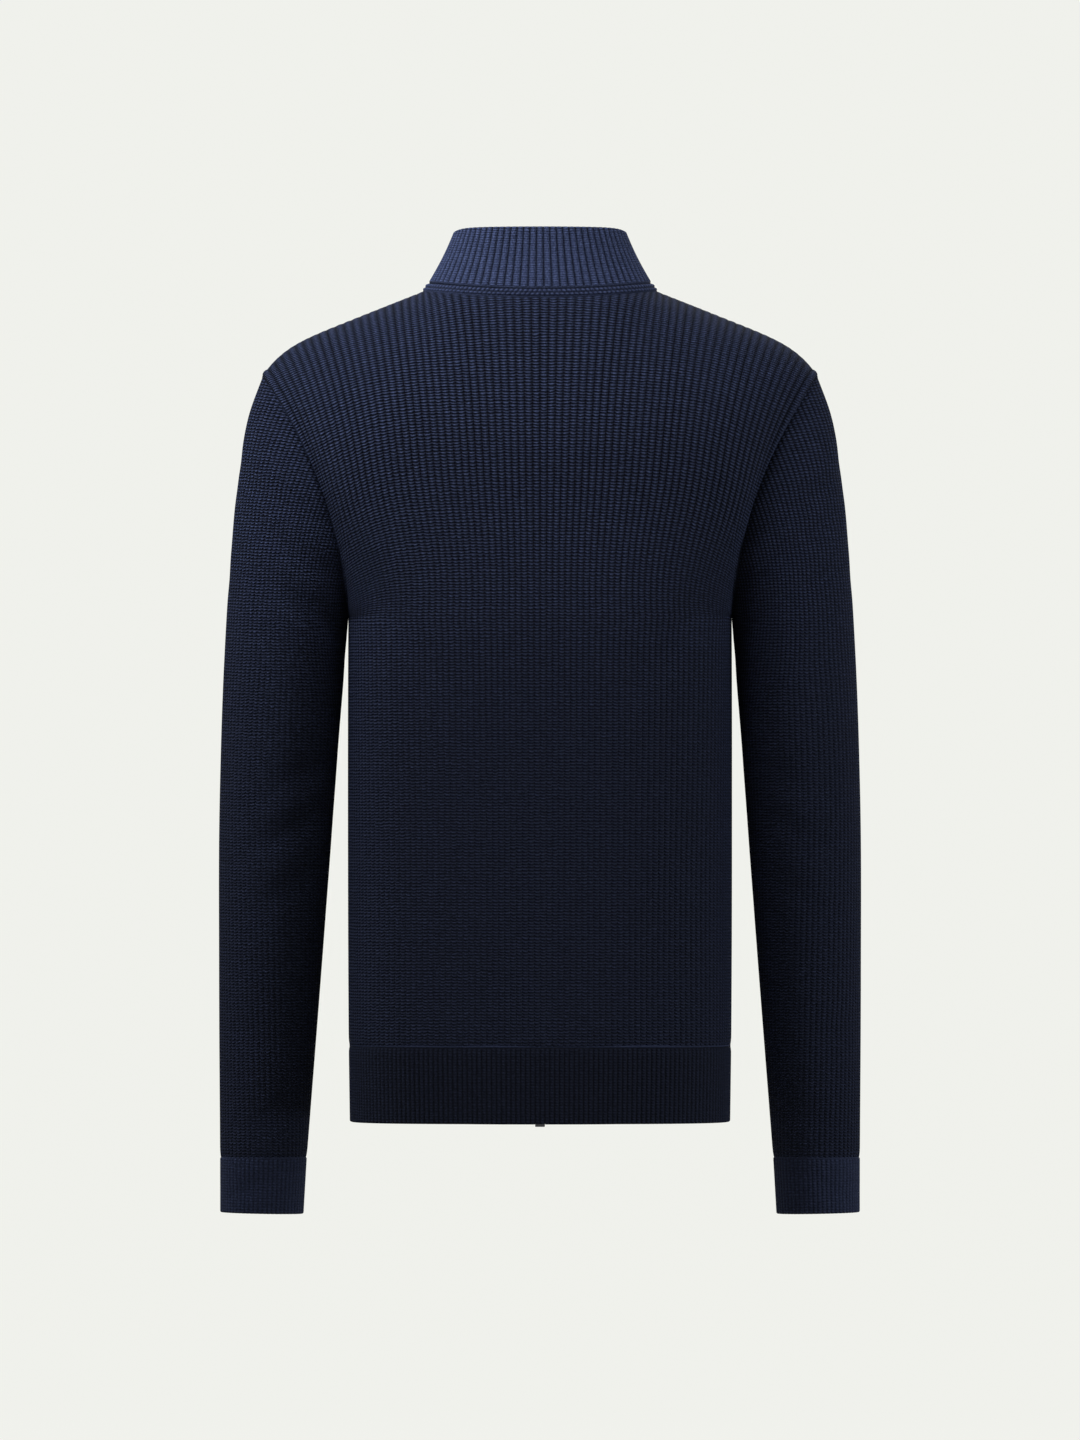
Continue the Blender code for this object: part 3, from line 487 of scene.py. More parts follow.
# Soft creases, each a trough, or a ridge where its depth is negative. x and z are its middle.
BACK_CREASES = (
    # x, z, degrees from level, length, width, depth
    (0.128, -0.265, 58, 0.120, 0.016, 0.0036),
    (0.104, -0.300, 66, 0.150, 0.020, -0.0014),
    (-0.126, -0.268, -60, 0.130, 0.015, 0.0032),
    (-0.100, -0.310, -68, 0.140, 0.022, -0.0012),
    (0.108, -0.500, 84, 0.220, 0.026, 0.0018),
    (-0.102, -0.560, -80, 0.200, 0.024, 0.0020),
    (0.040, -0.600, 78, 0.120, 0.024, 0.0011),
    (-0.030, -0.180, 4, 0.200, 0.034, 0.0009),
)
FRONT_CREASES = (
    (0.120, -0.262, 54, 0.120, 0.016, 0.0034),
    (0.096, -0.312, 64, 0.150, 0.022, -0.0012),
    (0.100, -0.520, 82, 0.200, 0.026, 0.0020),
    (0.050, -0.585, 74, 0.130, 0.022, 0.0012),
    (0.060, -0.190, 30, 0.140, 0.026, 0.0010),
)
MIRRORED_CREASES = [(-x, z, -angle, *rest) for x, z, angle, *rest in FRONT_CREASES]


def crease_depth(points, creases):
    """Depth of the creases at some points: each a bell across its slightly bent line, and one along it."""
    depth = np.zeros(points.shape[:2])
    for x, z, direction, length, width, deep in creases:
        angle = math.radians(direction)
        right, up = points[..., 0] - x, points[..., 2] - z
        along = right * math.cos(angle) + up * math.sin(angle)
        across = up * math.cos(angle) - right * math.sin(angle)
        depth += deep * bell(across - 0.12 * along * np.abs(along) / length, width) * bell(along, length / 2)
    return depth


def half_panel(side):
    """Half a panel: its smooth points, the way out of the cloth, and its fields."""
    rows = panel_rows(side)
    lengths = row_lengths(rows)
    shares = np.linspace(0.0, 1.0, RIBS_LOW * PER_RIB + 1)[None]
    front = side == "front"
    start = FRONT_EDGE / lengths if front else 0.0
    base = pick(rows, start + (1 - start) * shares)
    flow = 1 if front else -1
    out = flow * normals_of(base)
    base[:, -1, 1] += -flow * EDGE_GAP
    on_neck = base[-1, :, 0] < NECK_SEAM[0] - 0.0001
    base[-1, on_neck, 2] -= NECK_SEAM_EASE
    up = heights_along(base)
    above = len(rows) - BODY_ROWS[1] - BODY_ROWS[2] - len(TOP_RIM_TURNS)
    lead, extra = NARROWING
    narrowed = smooth((np.arange(len(rows)) - above + lead) / (BODY_ROWS[1] + extra))[:, None]
    ribs = RIBS_LOW + (RIBS_HIGH - RIBS_LOW) * narrowed
    from_seam = (1 - shares) * ribs
    rib = np.where(from_seam < EDGE_RIBS, from_seam, shares * ribs)
    crest = rib_profile(rib)
    first = FIRST_RIB * smooth((1.0 - from_seam) * 2) * smooth(narrowed * 4)
    flat = np.maximum(SHOULDER_FLAT * bell(up[-1] - up, SHOULDER_FLAT_REACH), LOW_FLAT * (1 - narrowed))
    shallow = flat * RIB_HEIGHT * (1 - crest)
    dip = JOIN_TUCK * bell(up, JOIN_REACH) - first - shallow
    return base, out, knit_fields(crest, up / COURSE, rib, rims(up, shares, lengths, KNIT_WALL, front), dip)


def knit_panel(name, grids, creases):
    base, out, fields = grids
    fields = fields.copy()
    fields[..., 4] += crease_depth(base, creases)
    return knit_piece(name, (base, out, fields), KNIT_WALL, RIB_HEIGHT, body_yarn)


front_half = half_panel("front")
back = knit_panel("back_panel", whole(half_panel("back")), BACK_CREASES)
front_left = knit_panel("left_front_panel", front_half, FRONT_CREASES)
front_right = knit_panel("right_front_panel", mirrored(front_half), MIRRORED_CREASES)

BACK_CUT = ((0.586, 0.655), 0.300)  # width and length before it is sewn, and area
FRONT_CUT = ((0.310, 0.655), 0.150)
for piece, node, (flat, area) in (
    (back, "back", BACK_CUT),
    (front_left, "front_left", FRONT_CUT),
    (front_right, "front_right", FRONT_CUT),
):
    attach(piece, "garment")
    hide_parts(node)

# ------------------------------------------------------------------------------------------------
# Sleeves: two set-in tubes of the same knit, each knitted to shape. The ribs run down the arm from the
# armhole seam and end along the seam under the arm as the sleeve narrows.

SLEEVE_ROWS = np.array(
    # outer x, outer z, inner x, inner z, half depth, centre y, bow: from the armhole to the cuff join
    (
        (*SHOULDER_TIP, *UNDERARM, ARMHOLE_DEPTH, SIDE_SEAM, ARMHOLE_BOW),
        (0.2447, -0.1030, 0.1623, -0.2900, 0.0575, -0.002, 0.0120),
        (0.2535, -0.1550, 0.1636, -0.3060, 0.0585, -0.002, 0.0060),
        (0.2598, -0.2200, 0.1654, -0.3300, 0.0585, -0.002, 0.0020),
        (0.2654, -0.3100, 0.1687, -0.3700, 0.0570, -0.003, 0.0),
        (0.2691, -0.4200, 0.1735, -0.4350, 0.0535, -0.006, 0.0),
        (0.2699, -0.5700, 0.1838, -0.5700, 0.0460, -0.013, 0.0),
        (0.2692, -0.7266, 0.1962, -0.7266, 0.0375, -0.022, 0.0),
    )
)
SLEEVE_GRID_ROWS = 132
SLEEVE_COLUMNS = 72 * PER_RIB
SLEEVE_TUCK = 0.0024
SLEEVE_RIB_HEIGHT = 0.0009
# how far down the sleeve, and the ribs on half of it there
SLEEVE_RIBS = np.array(((0.0, 44), (0.30, 33), (0.50, 32), (1.0, 25)))
SLEEVE_CREASES = (
    # height, degrees round the arm (0 outside, 90 behind, 180 inside), slope, length, width, depth
    (-0.175, 62, -0.60, 0.090, 0.010, 0.0024),
    (-0.215, 80, -0.75, 0.100, 0.012, 0.0028),
    (-0.262, 100, -0.60, 0.100, 0.013, 0.0022),
    (-0.405, 112, 0.35, 0.060, 0.014, 0.0022),
    (-0.450, 105, 0.45, 0.066, 0.013, 0.0026),
    (-0.505, 98, 0.50, 0.060, 0.015, 0.0018),
    (-0.620, 70, -0.30, 0.060, 0.014, 0.0014),
    (-0.690, 100, 0.25, 0.060, 0.013, 0.0016),
    (-0.420, -105, 0.30, 0.070, 0.015, 0.0028),
    (-0.480, -98, 0.45, 0.070, 0.014, 0.0026),
    (-0.200, -75, -0.60, 0.100, 0.013, 0.0026),
    (-0.680, -90, 0.30, 0.060, 0.014, 0.0018),
)


def eased_rows(table, count):
    """Rows read from a table's rows by cubic pieces with matching slopes, with extra ones near both ends."""
    step = np.linalg.norm(np.diff(table[:, :4], axis=0), axis=1)
    at = np.concatenate([[0.0], np.cumsum(step)])
    even = np.sort(np.concatenate([np.linspace(0.0, at[-1], count), RIM_ROWS, at[-1] - RIM_ROWS]))
    slopes = np.gradient(table, at, axis=0)
    span = np.clip(np.searchsorted(at, even, side="right") - 1, 0, len(at) - 2)
    width = (at[span + 1] - at[span])[:, None]
    t = (even - at[span])[:, None] / width
    first, second = table[span], table[span + 1]
    return (
        first * (1 + 2 * t) * (1 - t) ** 2
        + slopes[span] * width * t * (1 - t) ** 2
        + second * t * t * (3 - 2 * t)
        + slopes[span + 1] * width * t * t * (t - 1)
    )


def arm_ring(rows, turn):
    """Rings of the sleeve: turn runs from the outer line backwards, as on the armhole."""
    outer_x, outer_z, inner_x, inner_z, half_depth, centre_y, bow = (rows[:, k, None] for k in range(7))
    cos, sin = np.cos(turn), np.sin(turn)
    x = (outer_x + inner_x) / 2 + (outer_x - inner_x) / 2 * cos - bow * sin**2
    y = centre_y + half_depth * sin
    z = (outer_z + inner_z) / 2 + (outer_z - inner_z) / 2 * cos
    return np.stack([x, y, z], axis=2)


def even_turns(rows, columns):
    """For each ring, the turns at even steps of its length, all round it from the outer line."""
    turn = np.linspace(0.0, math.pi, SAMPLES)
    step = np.linalg.norm(np.diff(arm_ring(rows, turn[None]), axis=1), axis=2)
    length = np.concatenate([np.zeros((len(rows), 1)), np.cumsum(step, axis=1)], axis=1)
    even = np.linspace(0.0, 1.0, columns // 2 + 1)
    half = np.array([np.interp(even * s[-1], s, turn) for s in length])
    return np.concatenate([half, 2 * math.pi - half[:, -2:0:-1]], axis=1)


def tube_creases(points, turn, creases):
    """Depth of creases round a tube: bells across lines that climb as they go round it."""
    depth = np.zeros(points.shape[:2])
    for height, place, slope, length, width, deep in creases:
        round_arm = (turn - math.radians(place) + math.pi) % (2 * math.pi) - math.pi
        along = 0.05 * round_arm
        depth += deep * bell(points[..., 2] - height - slope * along, width) * bell(along, length / 2)
    return depth


def tube_half(rows, ribs, columns, creases, course, tucks):
    """A ribbed tube from rows of ring sizes, top row first, and the count of ribs on half of each row.

    tucks says how far its upper rim draws in behind and in front, and its lower one all round. The grid's
    first row is the lowest one.
    """
    rows, ribs = rows[::-1], ribs[::-1, None]
    turn = even_turns(rows, columns)
    base = arm_ring(rows, turn)
    out = normals_of(base, closed=True)
    share = np.arange(columns) / (columns / 2)
    rib = np.minimum(share, 2 - share)[None] * ribs + 0.5
    crest = 1 - (1 - rib_profile(rib)) * (1 - bell((1 - np.minimum(share, 2 - share)) * ribs, 0.8))
    up = heights_along(base)
    down = up[-1] - up
    dip = tube_creases(base, turn, creases) + tucks[1] * bell(up, JOIN_REACH)
    dip += tucks[0] * np.sin(turn) ** 2 * bell(down, JOIN_REACH)
    inset = rim_inset(np.minimum(up, down), KNIT_WALL)
    return base, out, knit_fields(crest, up / course, rib, inset, dip)


def place_pair(name, grids, relief, finish):
    """A closed tube on the wearer's left and its mirror image on the right."""
    left = knit_piece(f"left_{name}", grids, KNIT_WALL, relief, finish, closed=True)
    turned = [np.roll(grid, 1, axis=1) for grid in mirrored(grids)]
    return left, knit_piece(f"right_{name}", turned, KNIT_WALL, relief, finish, closed=True)


sleeve_rows = eased_rows(SLEEVE_ROWS, SLEEVE_GRID_ROWS)
sleeve_ribs = np.interp(np.linspace(0.0, 1.0, len(sleeve_rows)), *SLEEVE_RIBS.T)
sleeve = tube_half(sleeve_rows, sleeve_ribs, SLEEVE_COLUMNS, SLEEVE_CREASES, COURSE, (SLEEVE_TUCK, JOIN_TUCK))
sleeves = place_pair("sleeve", sleeve, SLEEVE_RIB_HEIGHT, body_yarn)
for piece, node in zip(sleeves, ("sleeve_left", "sleeve_right")):
    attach(piece, "garment")
    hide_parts(node)

# ------------------------------------------------------------------------------------------------
# Cuffs: two short tubes of finer and flatter rib, linked to the sleeves. Each is a little darker than the
# knit above it.

CUFF_BOTTOM = (0.2692, -0.7728, 0.1990, -0.7742, 0.0335, -0.024, 0.0)
CUFF_RIBS = 28.5  # on each half
CUFF_COLUMNS = 57 * PER_RIB
CUFF_COURSE = 0.0024
CUFF_RIB_HEIGHT = 0.0006
CUFF_CREASES = ((-0.752, 70, 0.25, 0.060, 0.008, 0.0010), (-0.745, -60, -0.2, 0.060, 0.008, 0.0010))

CUFF_SHADE = 0.50  # of the body's navy
cuff_yarn = knit_material(
    "navy rib knit", *navy(CUFF_SHADE), fuzz=0.03, bump=0.0004, gap=0.30, arch=0.25, valley_shade_floor=0.55
)
cuff_rows = eased_rows(np.array((SLEEVE_ROWS[-1], CUFF_BOTTOM)), 22)
cuff_ribs = np.full(len(cuff_rows), CUFF_RIBS)
cuff = tube_half(cuff_rows, cuff_ribs, CUFF_COLUMNS, CUFF_CREASES, CUFF_COURSE, (JOIN_TUCK, 0.0))
cuffs = place_pair("cuff", cuff, CUFF_RIB_HEIGHT, cuff_yarn)
for piece, node in zip(cuffs, ("cuff_left", "cuff_right")):
    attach(piece, "garment")
    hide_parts(node)

# ------------------------------------------------------------------------------------------------
# Hem band: a finer rib round the hem, in a back and two fronts, linked to the panels. Its ribs rise from
# the join, and its front hangs a little lower at the centre.

HEM_BOTTOM = np.array((-0.6955, 0.1597, 0.1010, 0.1060))
HEM_FRONT_DROP = 0.0060
HEM_RIBS = 56  # on half of it
HEM_ROWS = 24
HEM_RIB_HEIGHT = 0.0009
HEM_JOIN = 0.0035  # over which the ribs rise from the join


def hem_rows(side):
    """Half rings of the band from its lower edge to the join. The front hangs lower at its centre."""
    up = np.linspace(0.0, 1.0, HEM_ROWS)
    rim = RIM_ROWS / (BODY_RINGS[0, 0] - HEM_BOTTOM[0])
    up = np.sort(np.concatenate([up, rim, 1 - rim]))
    sizes = HEM_BOTTOM + (BODY_RINGS[0] - HEM_BOTTOM) * up[:, None]
    fall = HEM_FRONT_DROP * (1 - up[:, None]) if side == "front" else 0.0
    turn = np.linspace(0.0, math.pi / 2, SAMPLES)[None]
    heights = sizes[:, :1] - fall * np.cos(turn) ** 2
    return ring_rows(heights, sizes[:, 1], sizes[:, 2] if side == "back" else -sizes[:, 3])


def hem_half(side):
    """Half the band, as a panel's half is given."""
    rows = hem_rows(side)
    lengths = row_lengths(rows)
    shares = np.linspace(0.0, 1.0, HEM_RIBS * PER_RIB + 1)[None]
    front = side == "front"
    start = FRONT_EDGE / lengths if front else 0.0
    base = pick(rows, start + (1 - start) * shares)
    flow = 1 if front else -1
    out = flow * normals_of(base)
    base[:, -1, 1] += -flow * EDGE_GAP
    up = heights_along(base)
    rib = shares * HEM_RIBS
    dip = JOIN_TUCK * bell(up[-1] - up, JOIN_REACH)
    inset = rims(up, shares, lengths, KNIT_WALL, front)
    # Near the join the ribs sink to their valleys: the band draws in there, and the painted shade of the
    # valleys darkens the join.
    crest = rib_profile(rib) * smooth((up[-1] - up) / HEM_JOIN)
    return base, out, knit_fields(crest, up / CUFF_COURSE, rib, inset, dip)


# The band is painted darker than the body: partly the colour of its denser rib, partly painted shade, as the
# band turns in under the body.
HEM_SHADE = 0.21  # of the body's navy
hem_yarn = knit_material(
    "navy dense rib knit with painted shade", *navy(HEM_SHADE), fuzz=0.03, bump=0.0004, gap=0.30, arch=0.25, valley_shade_floor=0.40
)
hem_front = hem_half("front")
for name, node, grids, flat in (
    ("back_hem_band", "hem_back", whole(hem_half("back")), (0.452, 0.065)),
    ("left_hem_band", "hem_front_left", hem_front, (0.224, 0.068)),
    ("right_hem_band", "hem_front_right", mirrored(hem_front), (0.224, 0.068)),
):
    piece = knit_piece(name, grids, KNIT_WALL, HEM_RIB_HEIGHT, hem_yarn)
    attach(piece, "garment")
    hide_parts(node)

# ------------------------------------------------------------------------------------------------
# Stand collar: one band of broad rib, bound off along its top. Its ribs fan out towards the neck, and it is
# drawn in a little at mid height.

COLLAR_WALL = 0.0030
COLLAR_BASE = (0.0935, 0.0705, 0.0755, 0.0025, 0.0090, -0.0662, 2)
COLLAR_TOP = (0.0722, 0.0560, 0.0670, 0.0544, 0.0518, -0.0060, 12)
COLLAR_HOLLOW = 0.0012
COLLAR_RIBS = 42  # on half of it
COLLAR_RIB_HEIGHT = 0.0013
COLLAR_COURSE = 0.0021
COLLAR_ROWS = 26

collar_yarn = knit_material(
    "navy collar rib", NAVY_DEEP, NAVY_LIT, fuzz=0.04, bump=0.0006, gap=0.30, arch=0.2, valley_shade_floor=0.16
)


def collar_rows(shares):
    """Half rings up the collar, from the centre back to the centre front on +X, drawn in at mid height."""
    turn = np.linspace(0.0, math.pi, 2 * SAMPLES)
    base, top = neck_ring(COLLAR_BASE, turn), neck_ring(COLLAR_TOP, turn)
    rows = base + (top - base) * shares[:, None, None]
    hollow = COLLAR_HOLLOW * np.sin(math.pi * shares)[:, None, None]
    return spread(rows - unit(rows * (1.0, 1.0, 0.0)) * hollow)


def collar_half():
    """Half the collar, from the centre back to the zip."""
    rim = RIM_ROWS / (COLLAR_TOP[3] - COLLAR_BASE[3])
    rows = collar_rows(np.sort(np.concatenate([np.linspace(0.0, 1.0, COLLAR_ROWS), rim, 1 - rim])))
    lengths = row_lengths(rows)
    shares = np.linspace(0.0, 1.0, COLLAR_RIBS * PER_RIB + 1)[None]
    base = pick(rows, (1 - FRONT_EDGE / lengths) * shares)
    rib = shares * COLLAR_RIBS + 0.5
    up = heights_along(base)
    inset = rims(up, shares, lengths, COLLAR_WALL, False)
    return base, -normals_of(base), knit_fields(rib_profile(rib, 0.5), up / COLLAR_COURSE, rib, inset, 0.0)


collar = knit_piece("stand_collar", whole(collar_half()), COLLAR_WALL, COLLAR_RIB_HEIGHT, collar_yarn)
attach(collar, "garment")
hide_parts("collar")

# ------------------------------------------------------------------------------------------------
# Linking trim: two rows of chain stitches that join the collar to the body. They stand a little proud of
# both, and each link is a rounded dash.

TRIM_PROUD = 0.0007
TRIM_LINKS = 72  # on half of it
TRIM_BUMP = 0.0014
TRIM_ROWS = 21
CHAIN_ROWS = ((0.30, 0.0), (0.70, 0.5))  # height up the trim, and shift along it

chain_yarn = knit_material(
    "navy linking chain", NAVY_DEEP, NAVY_LIT, fuzz=0.04, bump=0.0003, gap=0.10, arch=0.2, valley_shade_floor=0.10
)


def trim_half():
    """Half the trim: a flat band with two rows of bumps, each link a rounded dash."""
    turn = np.linspace(0.0, math.pi, 2 * SAMPLES)
    low, high = spread(np.array([neck_ring(NECK_SEAM, turn), neck_ring(COLLAR_BASE, turn)]))
    up = np.linspace(0.0, 1.0, TRIM_ROWS)[:, None]
    rows = low + (high - low) * up[..., None]
    rows = rows + unit(rows * (1.0, 1.0, 0.0)) * TRIM_PROUD * np.sin(math.pi * up[..., None])
    lengths = row_lengths(rows)
    shares = np.linspace(0.0, 1.0, TRIM_LINKS * PER_RIB + 1)[None]
    base = pick(rows, (1 - FRONT_EDGE / lengths) * shares)
    link = shares * TRIM_LINKS
    crest = np.zeros((TRIM_ROWS, shares.shape[1]))
    for height, shift in CHAIN_ROWS:
        lean = link + shift + 0.5 * (up - height)
        crest = np.maximum(crest, bell(up - height, 0.17) * (0.15 + 0.85 * rib_profile(lean, 0.8)))
    inset = rims(heights_along(base), shares, lengths, COLLAR_WALL / 2, False)
    return base, -normals_of(base), knit_fields(crest, link, link, inset, -0.0003)


trim = knit_piece("neck_linking_trim", whole(trim_half()), COLLAR_WALL, TRIM_BUMP, chain_yarn)
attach(trim, "garment")
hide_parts("neck_trim")

# ------------------------------------------------------------------------------------------------
# Linking yarn: the thick yarn that runs inside every seam of the knit and closes it from edge to edge. The
# seams at the neck and hem run right round, across the zip.

YARN_RADIUS = 0.0011
YARN_DEPTH = 0.0016  # behind the outer face
YARN_SIDES = 8
YARN_POINTS = 90
YARN_SIDEWAYS = (0.31, 0.23, 0.92)  # a direction that no yarn runs along

seam_yarn, nodes, links, sums, noise, ramp = new_material("navy linking yarn")
shader = nodes["Principled BSDF"]
fibre = ramp(noise(900.0, 2.0), np.array(NAVY_DEEP) * 0.3, np.array(NAVY_LIT) * 0.5)
links.new(fibre, shader.inputs["Base Color"])
shader.inputs["Roughness"].default_value = 0.95
shader.inputs["Specular IOR Level"].default_value = 0.1


def yarn_tubes(paths, radius, sides):
    """Points and faces of round tubes along open paths: circles square to each path, with flat ends."""
    round_turn = np.linspace(0.0, 2 * math.pi, sides, endpoint=False)
    points, quads, ends, count = [], [], [], 0
    for path in paths:
        run = unit(np.gradient(path, axis=0))
        aside = unit(np.cross(run, unit(np.array(YARN_SIDEWAYS))))
        over = np.cross(aside, run)
        ring = aside[:, None] * np.cos(round_turn)[:, None] + over[:, None] * np.sin(round_turn)[:, None]
        index = np.arange(len(path) * sides).reshape(-1, sides) + count
        turned = np.roll(index, -1, axis=1)
        points.append((path[:, None] + radius * ring).reshape(-1, 3))
        quads.append(np.stack([index[:-1], index[1:], turned[1:], turned[:-1]], axis=-1).reshape(-1, 4))
        ends += [index[0], index[-1, ::-1]]
        count += index.size
    return np.concatenate(points), [np.concatenate(quads), np.array(ends)]


def seam_paths():
    """The seams' lines inside the wall: neck, collar, hem, sides, shoulders, armholes and cuff joins."""
    turn = np.linspace(0.0, math.pi, 2 * YARN_POINTS)
    lines = [neck_ring(ring, turn) for ring in (NECK_SEAM, COLLAR_BASE)]
    lines += [body_rows(BODY_RINGS[:1, 0], part)[0] for part in ("back", "front")]
    depths = (YARN_DEPTH, YARN_DEPTH, YARN_DEPTH + JOIN_TUCK, YARN_DEPTH + JOIN_TUCK)
    lines = [line - unit(line * (1.0, 1.0, 0.0)) * depth for line, depth in zip(lines, depths)]
    side = panel_rows("back")[: BODY_ROWS[0] + 4, -1]
    lines += [line - (YARN_DEPTH, 0.0, 0.0) for line in (side, hem_rows("back")[:, -1])]
    lines.append(shoulder_seam() - (0.0, 0.0, YARN_DEPTH))
    for base, out, _ in (sleeve, cuff):
        ring = base[-1] - out[-1] * YARN_DEPTH
        lines.append(np.concatenate([ring, ring[:1]]))
    share = np.linspace(0.0, 1.0, YARN_POINTS)
    lines = [
        np.stack([np.interp(share, np.linspace(0.0, 1.0, len(line)), line[:, k]) for k in range(3)], axis=1)
        for line in lines
    ]
    return lines + [line * MIRROR for line in lines]


points, faces = yarn_tubes(seam_paths(), YARN_RADIUS, YARN_SIDES)
yarn = mesh_piece("seam_linking_yarn", points, faces, seam_yarn)
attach(yarn, "garment")

# ------------------------------------------------------------------------------------------------
# Zip tapes: two narrow woven tapes sewn behind the front edges from the hem to the collar's top, each
# with a thick bead that the teeth are clamped on.

TAPE_SPAN = (0.0031, 0.0145)
TAPE_FACE = 0.0035  # behind the outer surface
TAPE_THICKNESS = 0.0010
TAPE_INSET = 0.0020
TAPE_ROWS = 300
TAPE_BEAD = 0.0007
SEAM_GAP = 0.0003

tape_weave, nodes, links, sums, noise, ramp = new_material("woven zip tape")
shader = nodes["Principled BSDF"]
weft = nodes.new("ShaderNodeTexWave")
weft.bands_direction = "Z"
weft.inputs["Scale"].default_value = 240.0
weft.inputs["Distortion"].default_value = 1.2
links.new(nodes["Texture Coordinate"].outputs["Object"], weft.inputs["Vector"])
uneven = sums("MULTIPLY", weft.outputs["Fac"], sums("ADD", noise(900.0, 1.0), 0.5))
links.new(ramp(uneven, (0.006, 0.008, 0.018), (0.018, 0.023, 0.048)), shader.inputs["Base Color"])
relief = nodes.new("ShaderNodeBump")
relief.inputs["Distance"].default_value = 0.0002
links.new(weft.outputs["Fac"], relief.inputs["Height"])
links.new(relief.outputs["Normal"], shader.inputs["Normal"])
shader.inputs["Roughness"].default_value = 0.75


def front_strip(distances):
    """Rows up the centre front, from the hem to the collar's top, with points at distances from it."""
    collar_part = collar_rows(np.linspace(0.0, 1.0, COLLAR_ROWS))[:, ::-1]
    rows = np.concatenate([hem_rows("front")[:-1], panel_rows("front")[:-1], collar_part])
    return pick(rows, np.asarray(distances)[None] / row_lengths(rows))


def cut_strip(strip, at):
    """A strip's points at lengths from its lower end, measured along its first column."""
    length = heights_along(strip[:, :1])[:, 0]
    flat = strip.reshape(len(strip), -1)
    rows = np.stack([np.interp(at, length, flat[:, k]) for k in range(flat.shape[1])], axis=1)
    return rows.reshape(len(at), -1, 3)


FRONT_LENGTH = heights_along(front_strip([0.0]))[-1, 0]


def zip_tape():
    """The +X tape's outer and inner points, and the zero stitches that the wall needs."""
    distances = np.linspace(*TAPE_SPAN, PER_RIB * 2 + 1)
    strip = cut_strip(front_strip(distances), np.linspace(TAPE_INSET, FRONT_LENGTH - TAPE_INSET, TAPE_ROWS))
    inward = unit(-normals_of(strip) * (0.0, 1.0, 1.0))
    bead = TAPE_BEAD * bell(distances - TAPE_SPAN[0] - 0.0006, 0.0007)[None, :, None]
    outer = strip + inward * (TAPE_FACE - bead)
    inner = strip + inward * (TAPE_FACE + TAPE_THICKNESS)
    return outer, inner, np.zeros_like(strip)


tape = zip_tape()
for name, node, grids in (
    ("left_zip_tape", "zip_tape_left", tape),
    ("right_zip_tape", "zip_tape_right", [(grid * MIRROR)[:, ::-1] for grid in tape]),
):
    piece = shell(name, *grids, tape_weave)
    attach(piece, "garment")
    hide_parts(node)

# ------------------------------------------------------------------------------------------------
# Zip teeth: two rows of small metal teeth that mesh on the centre line, from the box at the hem to the
# slider near the collar's top. The box, stops, slider and pull have the same plating.

TOOTH_PITCH = 0.0022
CHAIN_FACE = 0.0010
CHAIN_DEPTH = 0.0026
BOX_TOP = 0.0080  # above the hem
SLIDER_FROM_TOP = 0.0150
CHAIN_PAST_SLIDER = 0.0006
# x of each ring of points along a tooth from its clamped end, its half height and its share of the depth
TOOTH_RINGS = np.array(
    ((0.0038, 0.00045, 0.80), (0.0026, 0.00062, 1.0), (0.0006, 0.00055, 0.9), (-0.0006, 0.00030, 0.6))
)
TOOTH_SIDES = 8

zip_metal, nodes, links, sums, noise, ramp = new_material("dark gunmetal")
shader = nodes["Principled BSDF"]
shader.inputs["Metallic"].default_value = 1.0
plating = ramp(noise(420.0, 3.0), (0.070, 0.070, 0.078), (0.125, 0.125, 0.135))
links.new(plating, shader.inputs["Base Color"])
links.new(sums("ADD", sums("MULTIPLY", noise(900.0, 2.0), 0.22), 0.26), shader.inputs["Roughness"])


def zip_teeth(shift, flip):
    """Every tooth of one side: eight-sided rings along X, placed at even steps up the centre front."""
    turn = np.linspace(0.0, 2 * math.pi, TOOTH_SIDES, endpoint=False) + math.pi / TOOTH_SIDES
    x, half_height, depth = TOOTH_RINGS.T / ((1.0,), (math.cos(math.pi / TOOTH_SIDES),), (1.0,))
    round_y = CHAIN_DEPTH / 2 * np.cos(turn) * depth[:, None]
    round_z = np.sin(turn) * half_height[:, None]
    start = BOX_TOP + SEAM_GAP + TOOTH_PITCH / 2
    stop = FRONT_LENGTH - SLIDER_FROM_TOP - CHAIN_PAST_SLIDER - TOOTH_PITCH / 2
    line = cut_strip(front_strip([0.0]), np.arange(start, stop, TOOTH_PITCH) + shift)[:, 0]
    run = unit(np.gradient(line, axis=0))
    inward = unit(np.cross(run, (1.0, 0.0, 0.0)))
    middle = line + inward * (CHAIN_FACE + CHAIN_DEPTH / 2)
    points = middle[:, None, None] + inward[:, None, None] * round_y[None, ..., None]
    points = points + run[:, None, None] * round_z[None, ..., None]
    points = (points + np.array((1.0, 0.0, 0.0)) * x[None, :, None, None]) * (flip, 1.0, 1.0)
    index = np.arange(points[..., 0].size).reshape(points.shape[:3])
    turned = np.roll(index, -1, axis=2)
    quads = np.stack([index[:, :-1], turned[:, :-1], turned[:, 1:], index[:, 1:]], axis=-1).reshape(-1, 4)
    ends = np.concatenate([index[:, 0, ::-1], index[:, -1]])
    if flip > 0:
        quads, ends = quads[:, ::-1], ends[:, ::-1]
    return points.reshape(-1, 3), [quads, ends]


for name, node, shift, flip in (
    ("left_zip_teeth", "zip_chain_left", 0.0, 1.0),
    ("right_zip_teeth", "zip_chain_right", TOOTH_PITCH / 2, -1.0),
):
    points, faces = zip_teeth(shift, flip)
    piece = mesh_piece(name, points, faces, zip_metal)
    piece.data.set_sharp_from_angle(angle=math.radians(40))
    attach(piece, "garment")
    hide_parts(node)

for node in ("zip_box", "zip_slider", "zip_stop_left", "zip_stop_right", "zip_pull"):
    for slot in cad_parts[node].material_slots:
        slot.material = zip_metal

# ------------------------------------------------------------------------------------------------
# Zip stitching: one line of navy thread on each front, through the knitted edge and the tape behind it.

